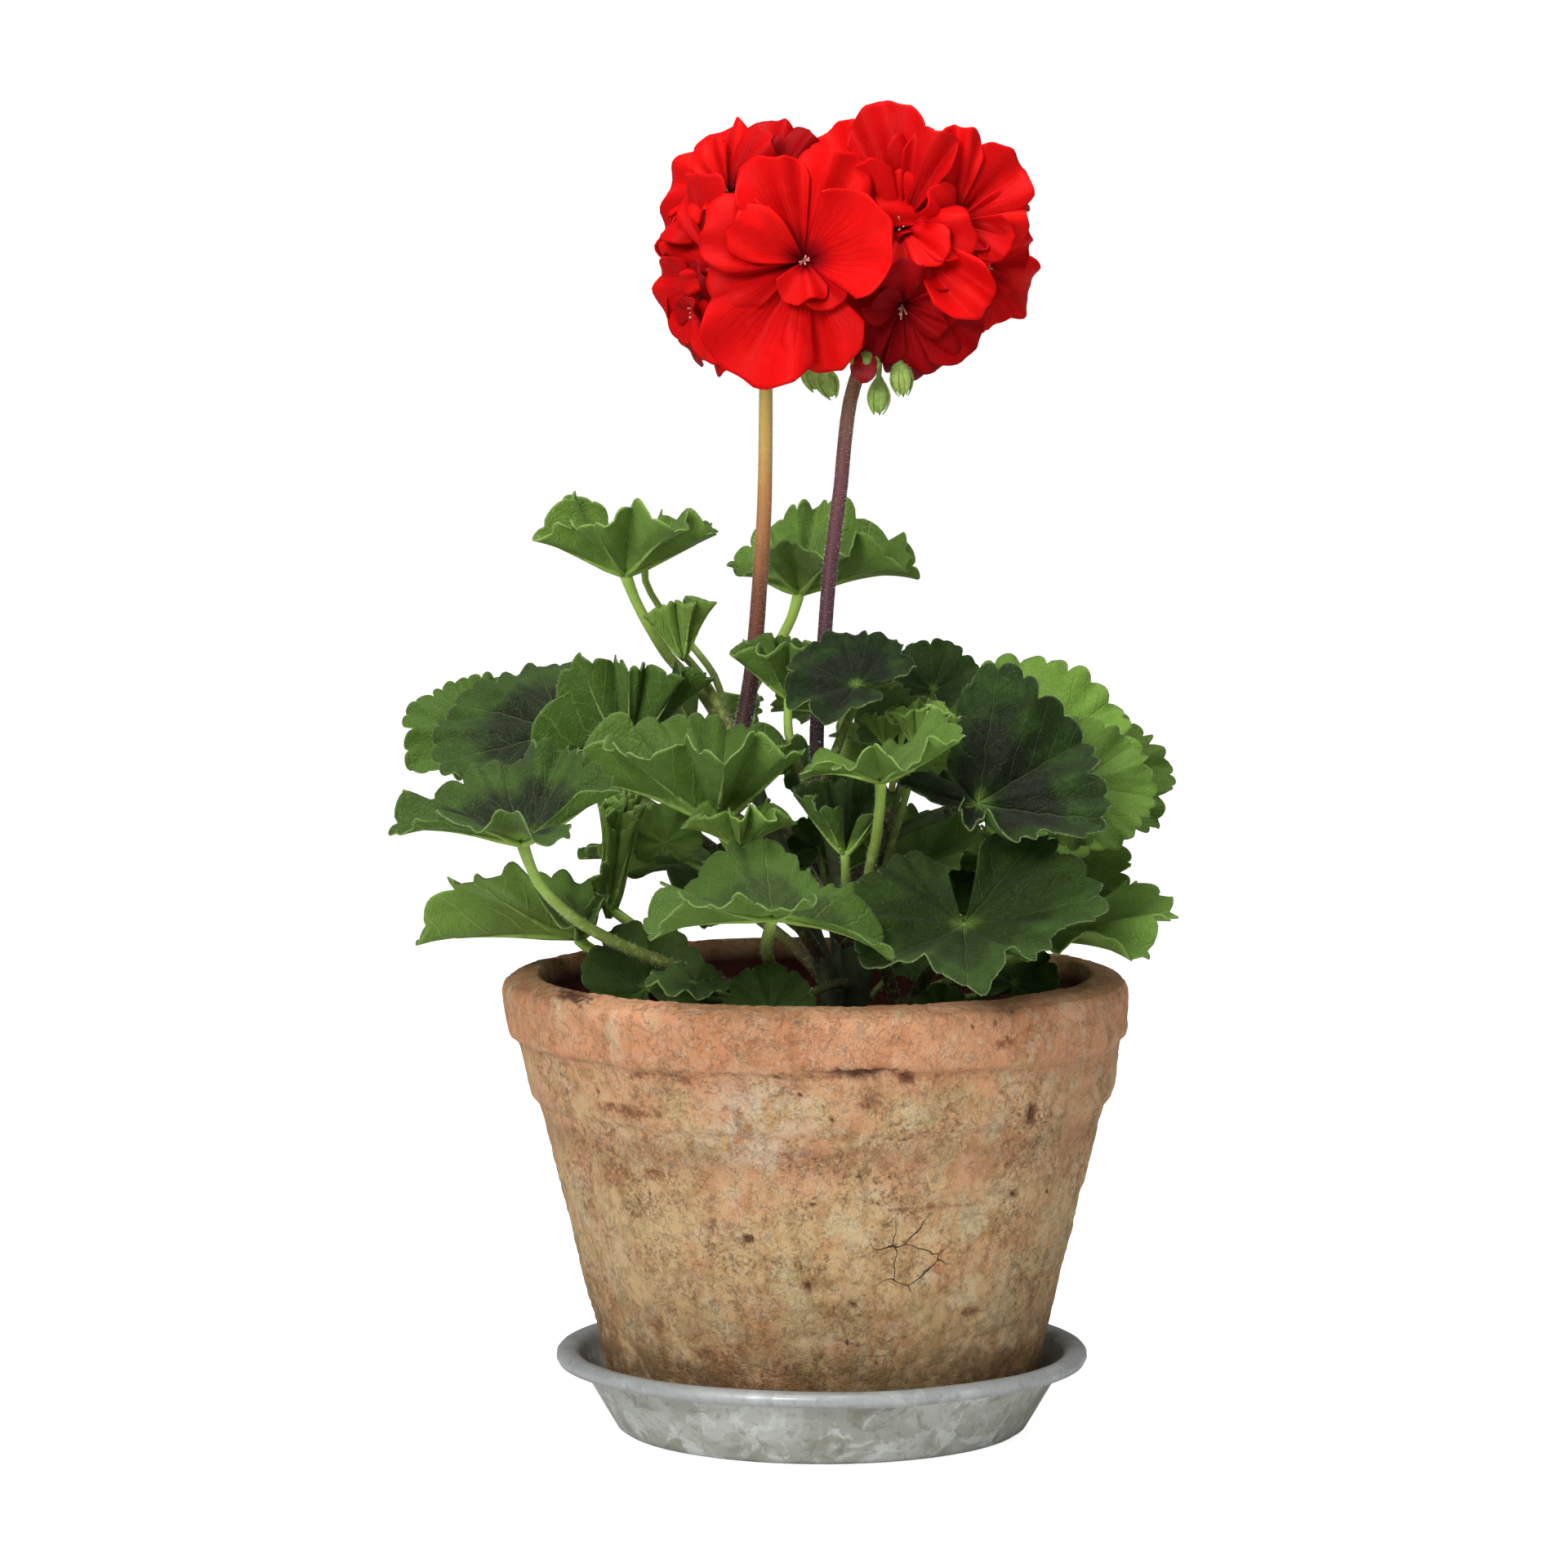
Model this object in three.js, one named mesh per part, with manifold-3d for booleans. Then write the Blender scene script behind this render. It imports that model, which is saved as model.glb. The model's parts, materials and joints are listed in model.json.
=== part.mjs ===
// A zonal geranium (pelargonium) with two red flower heads, in an old terracotta pot on a zinc saucer.
// Millimetres, +Z up, -Y the front. The origin is the middle of the saucer's underside.
import * as THREE from 'three';
import { mergeVertices } from 'three/addons/utils/BufferGeometryUtils.js';
import Module from 'manifold-3d';

const wasm = await Module();
wasm.setup();

// ---- driving dimensions ----
const clearance = 0.3; // between neighbours that touch
const saucer = { rimRadius: 72.6, height: 22.6, baseRadius: 56, wallTopRadius: 67, sheet: 1, bead: 2.2 };
const pot = { rimRadius: 85, height: 125.3, footRadius: 51, holeRadius: 9, lean: -2 };
const soil = { top: 106, mound: 4 };
const blade = { thickness: 0.9, lobes: 7, lobeAngle: 47, edgeSteps: 4, smallRadius: 23, notch: 0.1 };
const petiole = { radius: 1.6, sides: 4, steps: 4, longSteps: 5 };
const petalThickness = 0.8;
const turns = 32; // sides of the pot and the saucer

const colours = {
  zinc: { color: '#9a9d9d', roughness: 0.5, metalness: 0.8 },
  terracotta: { color: '#bf8a62', roughness: 0.95, metalness: 0 },
  soil: { color: '#2e231b', roughness: 1, metalness: 0 },
  shoot: { color: '#4d4a2c', roughness: 0.7, metalness: 0 },
  leaf: { color: '#3c6a26', roughness: 0.6, metalness: 0 },
  youngLeaf: { color: '#6f9f3c', roughness: 0.6, metalness: 0 },
  ochreStalk: { color: '#a8863f', roughness: 0.6, metalness: 0 },
  purpleStalk: { color: '#5b3236', roughness: 0.6, metalness: 0 },
  petal: { color: '#d81414', roughness: 0.55, metalness: 0 },
};

// ---- shoots: the woody stems that the leaves and flower stalks grow from ----
const shoots = {
  left: { radius: 3, path: [[4, -3, 84], [1, 1, 125], [-12, 7, 160], [-23, 9, 186]] },
  middle: { radius: 3.6, path: [[5, -4, 84], [8, -7, 128], [3, -12, 160], [-2, -14, 178]] },
  right: { radius: 3, path: [[7, -4, 84], [12, -8, 135], [16, -14, 161], [27, -17, 168], [39, -17, 172]] },
  lowLeft: { radius: 3.2, path: [[2, -4, 84], [-6, -14, 110], [-16, -22, 121]] },
  lowRight: { radius: 3.2, path: [[8, -4, 84], [17, -16, 112], [27, -22, 123]] },
  back: { radius: 3.2, path: [[5, -1, 84], [5, 14, 125], [2, 28, 152]] },
};

// ---- leaves ----
// at is where the stalk meets the blade. midrib is the heading of the middle lobe; lean and toward tip the
// blade's axis from upright. Headings are in degrees, 0 to the right, 90 to the back and -90 to the front.
// cup lifts the whole blade into a funnel, bends adds to it lobe by lobe, clockwise side first, pleat deepens
// the folds between lobes, and heel is the share of the radius left beside the notch at the stalk. lobes
// lengthens or shortens each lobe.
// root names the shoot and the share of its length where the stalk leaves it, via the points it passes.
const leaves = {
  leaf_top_left: {
    at: [-54, 25, 232.3], midrib: -60, radius: 32, cup: 29, bends: [32, -4, 3, 5, -3, -4, -6], pleat: 1.7,
    lobes: [1, 1, 1, 1, 0.92, 1, 1], root: ['left', 0.84],
    via: [[-25, 22, 186], [-33, 38, 198], [-42, 36, 208], [-46, 32, 214.5], [-51, 29, 224]],
  },
  leaf_top_left_small: {
    at: [-38, 22, 209], midrib: -60, lean: 10, toward: 180, radius: 18.5, cup: 62,
    bends: [4, 0, 3, 0, -2, 4, 0], pleat: 1.6, root: ['left', 0.93],
    via: [[-25, 19, 190], [-33, 33, 203]], young: true,
  },
  leaf_top_left_back: {
    at: [-49, 56, 236], midrib: 40, radius: 12, cup: 20, root: ['left', 0.6],
    via: [[-24, 35, 184], [-30, 46, 203], [-43, 55, 218], [-49, 56, 228]],
  },
  leaf_top_right: {
    at: [-6, 46, 226], midrib: 22, radius: 35, cup: 30, bends: [0, -4, -8, -18, 22, 14, -12], pleat: 1.5,
    heel: 0.6, lobes: [1, 1, 1, 1, 1, 0.85, 0.8], root: ['left', 0.7],
    via: [[-22, 26, 192], [-14, 35, 208], [-8, 43, 219]],
  },
  leaf_crest: {
    at: [-9, -2, 200], midrib: 200, radius: 21, cup: 46, bends: [16, 18, 6, -6, 0, 10, 14], pleat: 1.5,
    root: ['middle', 0.8], via: [[-9, -3, 190]],
  },
  leaf_crest_dark: {
    at: [9, -34, 206], midrib: 140, lean: 40, toward: -95, radius: 20, cup: 6,
    bends: [10, 4, 0, 0, -4, 4, 20], root: ['middle', 0.95],
  },
  leaf_crest_upright: {
    at: [30, 0, 202], midrib: 85, lean: 62, toward: -85, radius: 14.5, cup: 14,
    bends: [30, 14, 0, 0, 0, 10, 30], root: ['right', 0.6],
  },
  leaf_young_left: {
    at: [17, -17, 189], midrib: 200, radius: 10, cup: 50, pleat: 1.6, root: ['middle', 0.85],
    young: true,
  },
  leaf_young_right: {
    at: [25, -25, 189], midrib: 20, radius: 14, cup: 58, pleat: 1.6, root: ['right', 0.45], young: true,
  },
  leaf_far_left: {
    at: [-94, 80, 184], midrib: 165, lean: 45, toward: -90, radius: 24, cup: 6,
    bends: [50, 10, 0, 0, 4, 0, 0], lobes: [1, 0.82, 0.87, 1.03, 1.15, 1, 1], root: ['left', 0.52],
    via: [[-52, 46, 169]], young: true,
  },
  leaf_left: {
    at: [-72, 44, 187], midrib: 140, lean: 50, toward: -90, radius: 38, cup: 4,
    bends: [-4, -30, -26, -22, 0, 0, 30], heel: 0.6, root: ['left', 0.6],
  },
  leaf_left_inner: {
    at: [-53, 24, 184], midrib: -135, radius: 33, cup: 40, bends: [-20, -20, -48, 20, 20, 12, 7],
    pleat: 1.3, lobes: [0.7, 0.8, 0.85, 0.98, 0.9, 1, 1.12], root: ['left', 0.7],
  },
  leaf_left_front: {
    at: [-28, -31, 170], midrib: 180, radius: 43, cup: 34, bends: [4, 6, 6, -10, -2, 2, 6], pleat: 1.1,
    root: ['left', 0.4],
  },
  leaf_low_left_front: {
    at: [-79, -60, 167], midrib: 150, radius: 36, cup: 30, bends: [2, 22, 4, -16, -19, -15, -18],
    pleat: 0.9, root: ['lowLeft', 0.99], via: [[-38, -40, 131], [-62, -50, 143], [-75, -57, 156]],
  },
  leaf_low_left: {
    at: [-66, -10, 137], midrib: 176, radius: 44, cup: 14, bends: [50, 4, -2, -16, 17, 0, 30], pleat: 0.8,
    heel: 0.4, lobes: [0.5, 0.9, 1, 1, 1, 0.9, 0.5], root: ['lowLeft', 0.85],
  },
  leaf_folded: {
    at: [-58, 4, 140.5], midrib: 90, lean: 8, toward: 0, radius: 35, cup: 83,
    bends: [0, 0, 0, 0, 0, 0, 0], pleat: 0.6, root: ['lowLeft', 0.7], via: [[-40, -3, 130]],
  },
  leaf_middle_small: {
    at: [-22, -43, 164], midrib: -90, lean: 20, toward: -90, radius: 18, cup: 46,
    bends: [0, -18, 4, 10, 6, -14, 0], heel: 0.6, pleat: 1.8, root: ['middle', 0.5], young: true,
  },
  leaf_middle_back: {
    at: [-33, 40, 151], midrib: 180, radius: 35, cup: 5, bends: [6, 4, 0, 0, 0, -30, -30],
    root: ['left', 0.35],
  },
  leaf_middle_left: {
    at: [-43, 12, 159], midrib: 90, lean: 58, toward: -90, radius: 12, cup: 8, heel: 0.4,
    root: ['left', 0.45], young: true,
  },
  leaf_middle_dark: {
    at: [6, -33, 161], midrib: 100, radius: 24, cup: 50, bends: [0, 4, 6, 4, 0, 2, 0],
    root: ['middle', 0.5],
  },
  leaf_middle_right: {
    at: [27, 8, 153], midrib: 80, lean: 20, toward: -90, radius: 22, cup: 25, root: ['back', 0.6],
    young: true,
  },
  leaf_front_right: {
    at: [15, -58, 183], midrib: 20, radius: 27, cup: 28, bends: [-12, -6, 0, 14, -6, -22, -18],
    pleat: 1.3, root: ['lowRight', 0.8], via: [[12, -35, 151], [14, -42, 165], [15, -53, 177]],
    young: true,
  },
  leaf_right_dark: {
    at: [41, -42, 175], midrib: 52, lean: 58, toward: -90, radius: 37, cup: 6,
    bends: [50, 36, 6, 0, 12, -10, 20], heel: 0.75, lobes: [0.72, 0.85, 1, 0.95, 1.1, 0.42, 0.72],
    root: ['right', 0.95],
  },
  leaf_right_light: {
    at: [54, 10, 179], midrib: 58, lean: 55, toward: -88, radius: 36, cup: 4,
    bends: [8, 0, 0, 0, -6, 4, 10], lobes: [1, 1, 1, 0.97, 1.14, 0.9, 1], root: ['right', 0.98],
    young: true,
  },
  leaf_right_edge: {
    at: [68, -21, 178], midrib: -10, lean: 58, toward: -80, radius: 22, cup: 4,
    bends: [0, 0, 0, 0, 0, 10, 40], heel: 0.5, root: ['right', 0.9], young: true,
  },
  leaf_far_right: {
    at: [72, 44, 174], midrib: 10, lean: 48, toward: -80, radius: 27, cup: 4,
    bends: [-10, 0, 0, 0, 0, 0, 0], root: ['back', 0.9], via: [[32, 42, 159], [56, 47, 168]],
  },
  leaf_low_right: {
    at: [37, -54, 144], midrib: -90, lean: 33, toward: -90, radius: 36, cup: 14,
    bends: [4, 0, 0, 4, 0, 0, 14], lobes: [0.92, 1.03, 1, 1, 0.78, 1.2, 1.14], root: ['lowRight', 0.95],
  },
  leaf_low_right_tip: {
    at: [59, -17, 138], midrib: 0, radius: 37, cup: 8, bends: [-12, -8, -10, 4, 14, 10, 0], heel: 0.3,
    lobes: [1, 1, 1, 1, 0.9, 0.45, 0.4], root: ['lowRight', 0.8], young: true,
  },
  leaf_low_right_back: {
    at: [59, 12, 149], midrib: 30, lean: 45, toward: -90, radius: 27, cup: 8, root: ['back', 0.5],
  },
  leaf_front: {
    at: [-13, -80, 150], midrib: 142, radius: 36, cup: 8, bends: [-24, 12, 22, 4, -12, 4, 4],
    lobes: [1.15, 0.62, 1, 0.93, 0.97, 1, 1], root: ['lowLeft', 0.7],
    via: [[-12, -38, 127], [-15, -52, 137], [-14, -68, 145]],
  },
  leaf_pot_left: {
    at: [-47, -29, 124.5], midrib: 100, lean: 68, toward: -90, radius: 19, cup: 6, root: ['lowLeft', 0.9],
  },
  leaf_pot_front: {
    at: [-14, -60, 122], midrib: 90, lean: 52, toward: -90, radius: 14, cup: 8, root: ['middle', 0.4],
  },
  leaf_pot_middle: {
    at: [-34, -56, 129], midrib: 190, lean: 14, toward: -90, radius: 13, cup: 6, root: ['lowLeft', 0.8],
  },
  leaf_pot_right: {
    at: [52, -9, 123], midrib: 70, lean: 60, toward: -90, radius: 13, cup: 6, root: ['lowRight', 0.7],
  },
  leaf_back_left: {
    at: [-36, 78, 183], midrib: 120, lean: 35, toward: 110, radius: 27, cup: 16, root: ['back', 0.9],
  },
  leaf_back_right: {
    at: [28, 72, 176], midrib: 50, lean: 38, toward: 75, radius: 32, cup: 16, root: ['back', 0.95],
  },
  leaf_back_low: {
    at: [2, 74, 144], midrib: 85, lean: 38, toward: 95, radius: 31, cup: 14, root: ['back', 0.7],
  },
  leaf_back_top: {
    at: [6, 40, 193], midrib: 80, lean: 28, toward: 100, radius: 23, cup: 18, root: ['back', 0.98],
  },
};

// ---- flower heads ----
// Each floret: at is its throat, facing its heading and height angle. petals are rows of spin about the
// throat (0 to the right, 90 up), length, half spread and lift, in degrees and millimetres; a floret with a
// size has a plain ring of four of that length.
const heads = {
  left: {
    centre: [-15, -1, 317], core: [13, 12, 12], shoot: ['left', 0.99], colour: 'ochreStalk',
    stalk: [[-19, 10, 206], [-17, 9, 229], [-15.6, 5, 252], [-15.2, 1, 284], [-15, -1, 306]],
    florets: [
      { at: [-5, -27, 318], facing: [-92, 5], petals: [[114, 31, 27, 20], [70, 32, 28, 16], [18, 29, 44, 40],
        [159, 30, 28, 24], [240, 37, 35, 8], [285, 31, 30, 8], [268, 15, 38, 50]] },
      { at: [-26, -10, 315], facing: [-145, -5], petals: [[150, 26, 36, 12], [205, 29, 34, 10],
        [95, 29, 32, 18], [262, 26, 33, 15], [330, 18, 30, 40]] },
      { at: [-25, -4, 336], facing: [-130, 28], petals: [[168, 25, 38, 6], [215, 23, 33, 10],
        [118, 23, 34, 8], [66, 20, 30, 16]] },
      { at: [-14, 0, 337], facing: [-100, 32], petals: [[62, 20, 28, 18], [97, 22, 28, 8],
        [134, 20, 28, 20], [-20, 15, 28, 30]] },
      { at: [-31, -2, 305], facing: [-155, -18], size: 19 },
      { at: [-27, 19, 317], facing: [140, 6], size: 25 },
      { at: [-13, 19, 318], facing: [98, 4], size: 26 },
      { at: [-2, 10, 313], facing: [60, -10], size: 23 },
    ],
    buds: [[1, -15, 286], [-3, -12, 288]],
  },
  right: {
    centre: [27, -1, 322], core: [13, 12, 12], shoot: ['middle', 0.97], colour: 'purpleStalk',
    stalk: [[-1.5, -14, 192], [0.5, -14, 216], [2, -11, 235], [5, -9, 258], [7.4, -8, 280], [12, -6, 294],
      [21, -3, 312]],
    florets: [
      { at: [21, -22, 327], facing: [-100, 10], petals: [[100, 35, 25, 6], [66, 29, 20, 22],
        [-44, 34, 20, 10], [-12, 22, 30, 30], [200, 16, 38, 46], [238, 17, 38, 44], [282, 16, 32, 38]] },
      { at: [34.5, -20, 328], facing: [-75, 8], petals: [[86, 27, 20, 20], [44, 26, 34, 8], [2, 21, 34, 12],
        [120, 29, 24, 4], [-38, 17, 32, 38]] },
      { at: [41, -14, 316], facing: [-50, -12], petals: [[-18, 24, 30, 6], [-60, 18, 32, 14],
        [40, 18, 32, 22], [-105, 18, 32, 24]] },
      { at: [21, -22, 307], facing: [-85, -28], petals: [[218, 22, 30, 18], [-80, 24, 25, 10],
        [-116, 19, 30, 16], [-26, 24, 34, 16], [-54, 22, 32, 22], [12, 17, 30, 38]] },
      { at: [12.5, -8, 326], facing: [-110, 20], petals: [[106, 33, 32, 6], [150, 25, 32, 10],
        [196, 22, 30, 14]] },
      { at: [36, 8, 335], facing: [60, 58], size: 21 },
      { at: [39, 14, 322], facing: [28, 6], size: 22 },
      { at: [31, 28, 320], facing: [85, 4], size: 23 },
    ],
    buds: [[11, -20, 290], [15, -13, 282], [21, -17, 287]],
  },
};

// ---- general helpers ----
const rad = THREE.MathUtils.degToRad;
const vector = (p) => new THREE.Vector3(...p);

function solidOf(geometry) {
  const bare = geometry.clone();
  bare.deleteAttribute('normal');
  bare.deleteAttribute('uv');
  const merged = mergeVertices(bare, 1e-3);
  const corners = [];
  const index = merged.index.array;
  for (let i = 0; i < index.length; i += 3) {
    const [a, b, c] = index.slice(i, i + 3);
    if (a !== b && b !== c && c !== a) corners.push(a, b, c);
  }
  return new wasm.Manifold(new wasm.Mesh({
    numProp: 3,
    vertProperties: merged.attributes.position.array,
    triVerts: new Uint32Array(corners),
  }));
}

// The largest outer body, with any scrap that a cut left loose dropped and any sealed hollow filled.
function wholeBody(solid) {
  const bodies = solid.decompose().filter((b) => b.volume() > 0);
  return bodies.reduce((best, b) => (b.volume() > best.volume() ? b : best));
}

const group = new THREE.Group();

function addPiece(name, solid, colour) {
  const mesh = solid.getMesh();
  const geometry = new THREE.BufferGeometry()
    .setAttribute('position', new THREE.BufferAttribute(new Float32Array(mesh.vertProperties), 3))
    .setIndex(new THREE.BufferAttribute(new Uint32Array(mesh.triVerts), 1));
  geometry.computeVertexNormals();
  const piece = new THREE.Mesh(geometry, new THREE.MeshStandardMaterial(colours[colour]));
  piece.name = name;
  group.add(piece);
}

// A closed profile of [radius, height] points turned about Z.
function turned(profile) {
  const closed = [...profile, profile[0]].map(([r, z]) => new THREE.Vector2(r, z));
  return new THREE.LatheGeometry(closed, turns).rotateX(Math.PI / 2);
}

function tube(curve, radius, sides, steps) {
  const section = new THREE.Shape();
  for (let i = 0; i < sides; i++) {
    const a = (i / sides) * 2 * Math.PI;
    const move = i === 0 ? 'moveTo' : 'lineTo';
    section[move](radius * Math.cos(a), radius * Math.sin(a));
  }
  return solidOf(new THREE.ExtrudeGeometry(section, { steps, extrudePath: curve }));
}

function seededRandom(seed) {
  let state = seed * 2654435761 % 4294967296;
  return () => {
    state = (state * 1664525 + 1013904223) % 4294967296;
    return state / 4294967296;
  };
}

// A thin sheet: points with a normal each, triangles facing along the normals, and the loop of its edge.
function sheet(points, normals, triangles, edge, thickness) {
  const half = thickness / 2;
  const top = points.map((p, i) => p.clone().addScaledVector(normals[i], half));
  const under = points.map((p, i) => p.clone().addScaledVector(normals[i], -half));
  const corners = [];
  for (const [a, b, c] of triangles) {
    corners.push(top[a], top[b], top[c], under[a], under[c], under[b]);
  }
  edge.forEach((a, i) => {
    const b = edge[(i + 1) % edge.length];
    corners.push(under[a], under[b], top[b], under[a], top[b], top[a]);
  });
  return solidOf(new THREE.BufferGeometry().setFromPoints(corners));
}

// ---- pot, saucer, soil ----
// The rim of the pot leans a little to the left of its foot.
function leaned(geometry) {
  const position = geometry.attributes.position;
  for (let i = 0; i < position.count; i++) {
    const share = THREE.MathUtils.smoothstep(position.getZ(i), 0.75 * pot.height, pot.height);
    position.setX(i, position.getX(i) + pot.lean * share);
  }
  return geometry;
}

function makeSaucer() {
  const { rimRadius, height, baseRadius, wallTopRadius, sheet: skin, bead } = saucer;
  addPiece('saucer', solidOf(turned([
    [0, 0], [baseRadius - 2, 0], [baseRadius, 1.2], [wallTopRadius, height - bead - 0.6],
    [rimRadius - 2, height - 2 * bead], [rimRadius, height - bead - 0.5], [rimRadius - 1, height - 0.4],
    [rimRadius - 3, height], [wallTopRadius - 0.6, height - 1], [baseRadius - 0.6, skin], [0, skin],
  ])), 'zinc');
}

const potOutside = [
  [pot.footRadius, saucer.sheet], [56.8, 7], [60.1, 22], [74.7, 82], [79.4, 95], [81.4, 106],
  [pot.rimRadius - 1.4, 108.5], [pot.rimRadius, 120], [pot.rimRadius - 0.8, 122], [76.2, pot.height],
];
const potFloor = 12;
const potInside = [[74.6, 124.6], [73, 112], [51.5, 16], [47, potFloor]];

function makePot() {
  addPiece('pot', solidOf(leaned(turned([
    ...potOutside, ...potInside, [pot.holeRadius, potFloor], [pot.holeRadius, saucer.sheet],
  ]))), 'terracotta');
}

function makeSoil(crown) {
  const gap = clearance + 0.1;
  const side = [[47, potFloor], [51.5, 16], [71, soil.top]].map(([r, z]) => [r - gap, z + 0.3]);
  const surface = [[40, soil.top + 2.5], [0, soil.top + soil.mound]];
  const geometry = leaned(turned([[0, potFloor + 0.3], ...side, ...surface]));
  const position = geometry.attributes.position;
  for (let i = 0; i < position.count; i++) {
    const [x, y, z] = [position.getX(i), position.getY(i), position.getZ(i)];
    const inner = Math.hypot(x, y) < 65 && z > soil.top;
    if (inner) position.setZ(i, z + 1.2 * Math.sin(x * 0.31 + y * 0.17) * Math.cos(y * 0.27 - x * 0.11));
  }
  addPiece('soil', wholeBody(solidOf(geometry).subtract(crown)), 'soil');
}

// ---- shoots ----
const shootCurves = {};
for (const [name, { path }] of Object.entries(shoots)) {
  shootCurves[name] = new THREE.CatmullRomCurve3(path.map(vector));
}

function allShoots(extra) {
  const tubes = Object.entries(shoots).map(
    ([name, { radius }]) => tube(shootCurves[name], radius + extra, 5, 4));
  return tubes.reduce((a, b) => a.add(b));
}

// ---- leaves ----
const reach = rad(blade.lobeAngle * blade.lobes) / 2;

// A value given lobe by lobe, eased at an angle from the midrib.
function lobeValue(values, phi) {
  const place = THREE.MathUtils.clamp(phi / rad(blade.lobeAngle) + 3, 0, values.length - 1);
  const lower = Math.min(Math.floor(place), values.length - 2);
  const ease = 0.5 - 0.5 * Math.cos(Math.PI * (place - lower));
  return values[lower] + (values[lower + 1] - values[lower]) * ease;
}

// Share of the radius at an angle from the midrib, rounded off beside the notch at the stalk.
function outline({ heel = 0.75, lobes = [1, 1, 1, 1, 1, 1, 1] }, phi) {
  const broad = (1 - 0.2 * (1 - Math.cos(phi)) / 2) * lobeValue(lobes, phi);
  const cornerStart = reach - rad(28 + 80 * Math.max(0, 0.75 - heel));
  const corner = THREE.MathUtils.smoothstep(Math.abs(phi), cornerStart, reach);
  return broad * (1 - (1 - heel) * corner * corner);
}

function leafFrame(leaf) {
  const [lean, toward, midrib] = [leaf.lean ?? 0, leaf.toward ?? 0, leaf.midrib].map(rad);
  const axis = new THREE.Vector3(
    Math.sin(lean) * Math.cos(toward), Math.sin(lean) * Math.sin(toward), Math.cos(lean));
  const ahead = new THREE.Vector3(Math.cos(midrib), Math.sin(midrib), 0);
  ahead.addScaledVector(axis, -ahead.dot(axis)).normalize();
  return { axis, ahead, side: new THREE.Vector3().crossVectors(axis, ahead) };
}

// The blade as a function of the angle from the midrib, the share from stalk to rim, and the rim's trim.
function leafSurface(leaf) {
  const { axis, ahead, side } = leafFrame(leaf);
  const bends = leaf.bends ?? [0, 4, -4, 0, 4, -4, 0];
  return (phi, share, trim) => {
    const out = ahead.clone().multiplyScalar(Math.cos(phi)).addScaledVector(side, Math.sin(phi));
    const lift = rad(leaf.cup) + rad(lobeValue(bends, phi)) * Math.min(1, 0.4 + 0.6 * share);
    const r = leaf.radius * outline(leaf, phi) * trim * share;
    const normal = axis.clone().multiplyScalar(Math.cos(lift)).addScaledVector(out, -Math.sin(lift));
    const slack = Math.sqrt(1 / Math.cos(rad(leaf.cup)) - 1);
    const depth = (leaf.pleat ?? 1) * (0.03 + 0.55 * slack * Math.cos(lift)) * 2 / blade.lobes;
    const fold = (0.1 + depth) * r * Math.cos(2 * Math.PI * (phi + reach) / rad(blade.lobeAngle));
    const point = vector(leaf.at).addScaledVector(out, r * Math.cos(lift))
      .addScaledVector(axis, r * Math.sin(lift)).addScaledVector(normal, 0.5 * fold);
    return { point, normal };
  };
}

function leafBlade(leaf) {
  const surface = leafSurface(leaf);
  const perLobe = leaf.radius < blade.smallRadius ? 2 : blade.edgeSteps;
  const angle = (share) => reach * (2 * share - 1);
  const spots = [{ point: vector(leaf.at), normal: leafFrame(leaf).axis }];
  for (let i = 0; i <= blade.lobes; i++) spots.push(surface(angle(i / blade.lobes), 0.5, 1));
  for (let i = 0; i <= blade.lobes * perLobe; i++) {
    const trim = i % perLobe === 0 ? 1 - blade.notch : 1;
    spots.push(surface(angle(i / (blade.lobes * perLobe)), 1, trim));
  }
  const inner = (i) => 1 + i;
  const outer = (i) => 2 + blade.lobes + i;
  const triangles = [];
  for (let i = 0; i < blade.lobes; i++) {
    const middle = perLobe * i + perLobe / 2;
    triangles.push([0, inner(i), inner(i + 1)], [inner(i), outer(middle), inner(i + 1)]);
    for (let j = perLobe * i; j < perLobe * (i + 1); j++) {
      triangles.push([inner(j < middle ? i : i + 1), outer(j), outer(j + 1)]);
    }
  }
  const rim = Array.from({ length: blade.lobes * perLobe + 1 }, (_, i) => outer(i));
  const edge = [0, inner(0), ...rim, inner(blade.lobes)];
  return sheet(spots.map((s) => s.point), spots.map((s) => s.normal), triangles, edge, blade.thickness);
}

function petioleCurve(leaf) {
  const { axis } = leafFrame(leaf);
  const [shoot, share] = leaf.root;
  const start = shootCurves[shoot].getPointAt(share);
  const end = vector(leaf.at).addScaledVector(axis, 0.2);
  const length = start.distanceTo(end);
  const neck = vector(leaf.at).addScaledVector(axis, -0.3 * Math.min(length, 30));
  const via = (leaf.via ?? []).map(vector);
  if (via.length) return new THREE.CatmullRomCurve3([start, ...via, end]);
  const outward = end.clone().sub(start).multiplyScalar(0.35).add(new THREE.Vector3(0, 0, 0.1 * length));
  return new THREE.CubicBezierCurve3(start, start.clone().add(outward), neck, end);
}

function makeLeaves(shootRoom) {
  Object.entries(leaves).forEach(([name, leaf]) => {
    const radius = petiole.radius * (leaf.radius < 22 ? 0.75 : 1);
    const steps = leaf.via ? petiole.longSteps : petiole.steps;
    const stalk = tube(petioleCurve(leaf), radius, petiole.sides, steps).subtract(shootRoom);
    addPiece(name, wholeBody(leafBlade(leaf).add(stalk)), leaf.young ? 'youngLeaf' : 'leaf');
  });
}

// ---- flowers ----
const up = new THREE.Vector3(0, 0, 1);

function heading([turn, height]) {
  const [a, e] = [turn, height].map(rad);
  return new THREE.Vector3(Math.cos(e) * Math.cos(a), Math.cos(e) * Math.sin(a), Math.sin(e));
}

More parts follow.
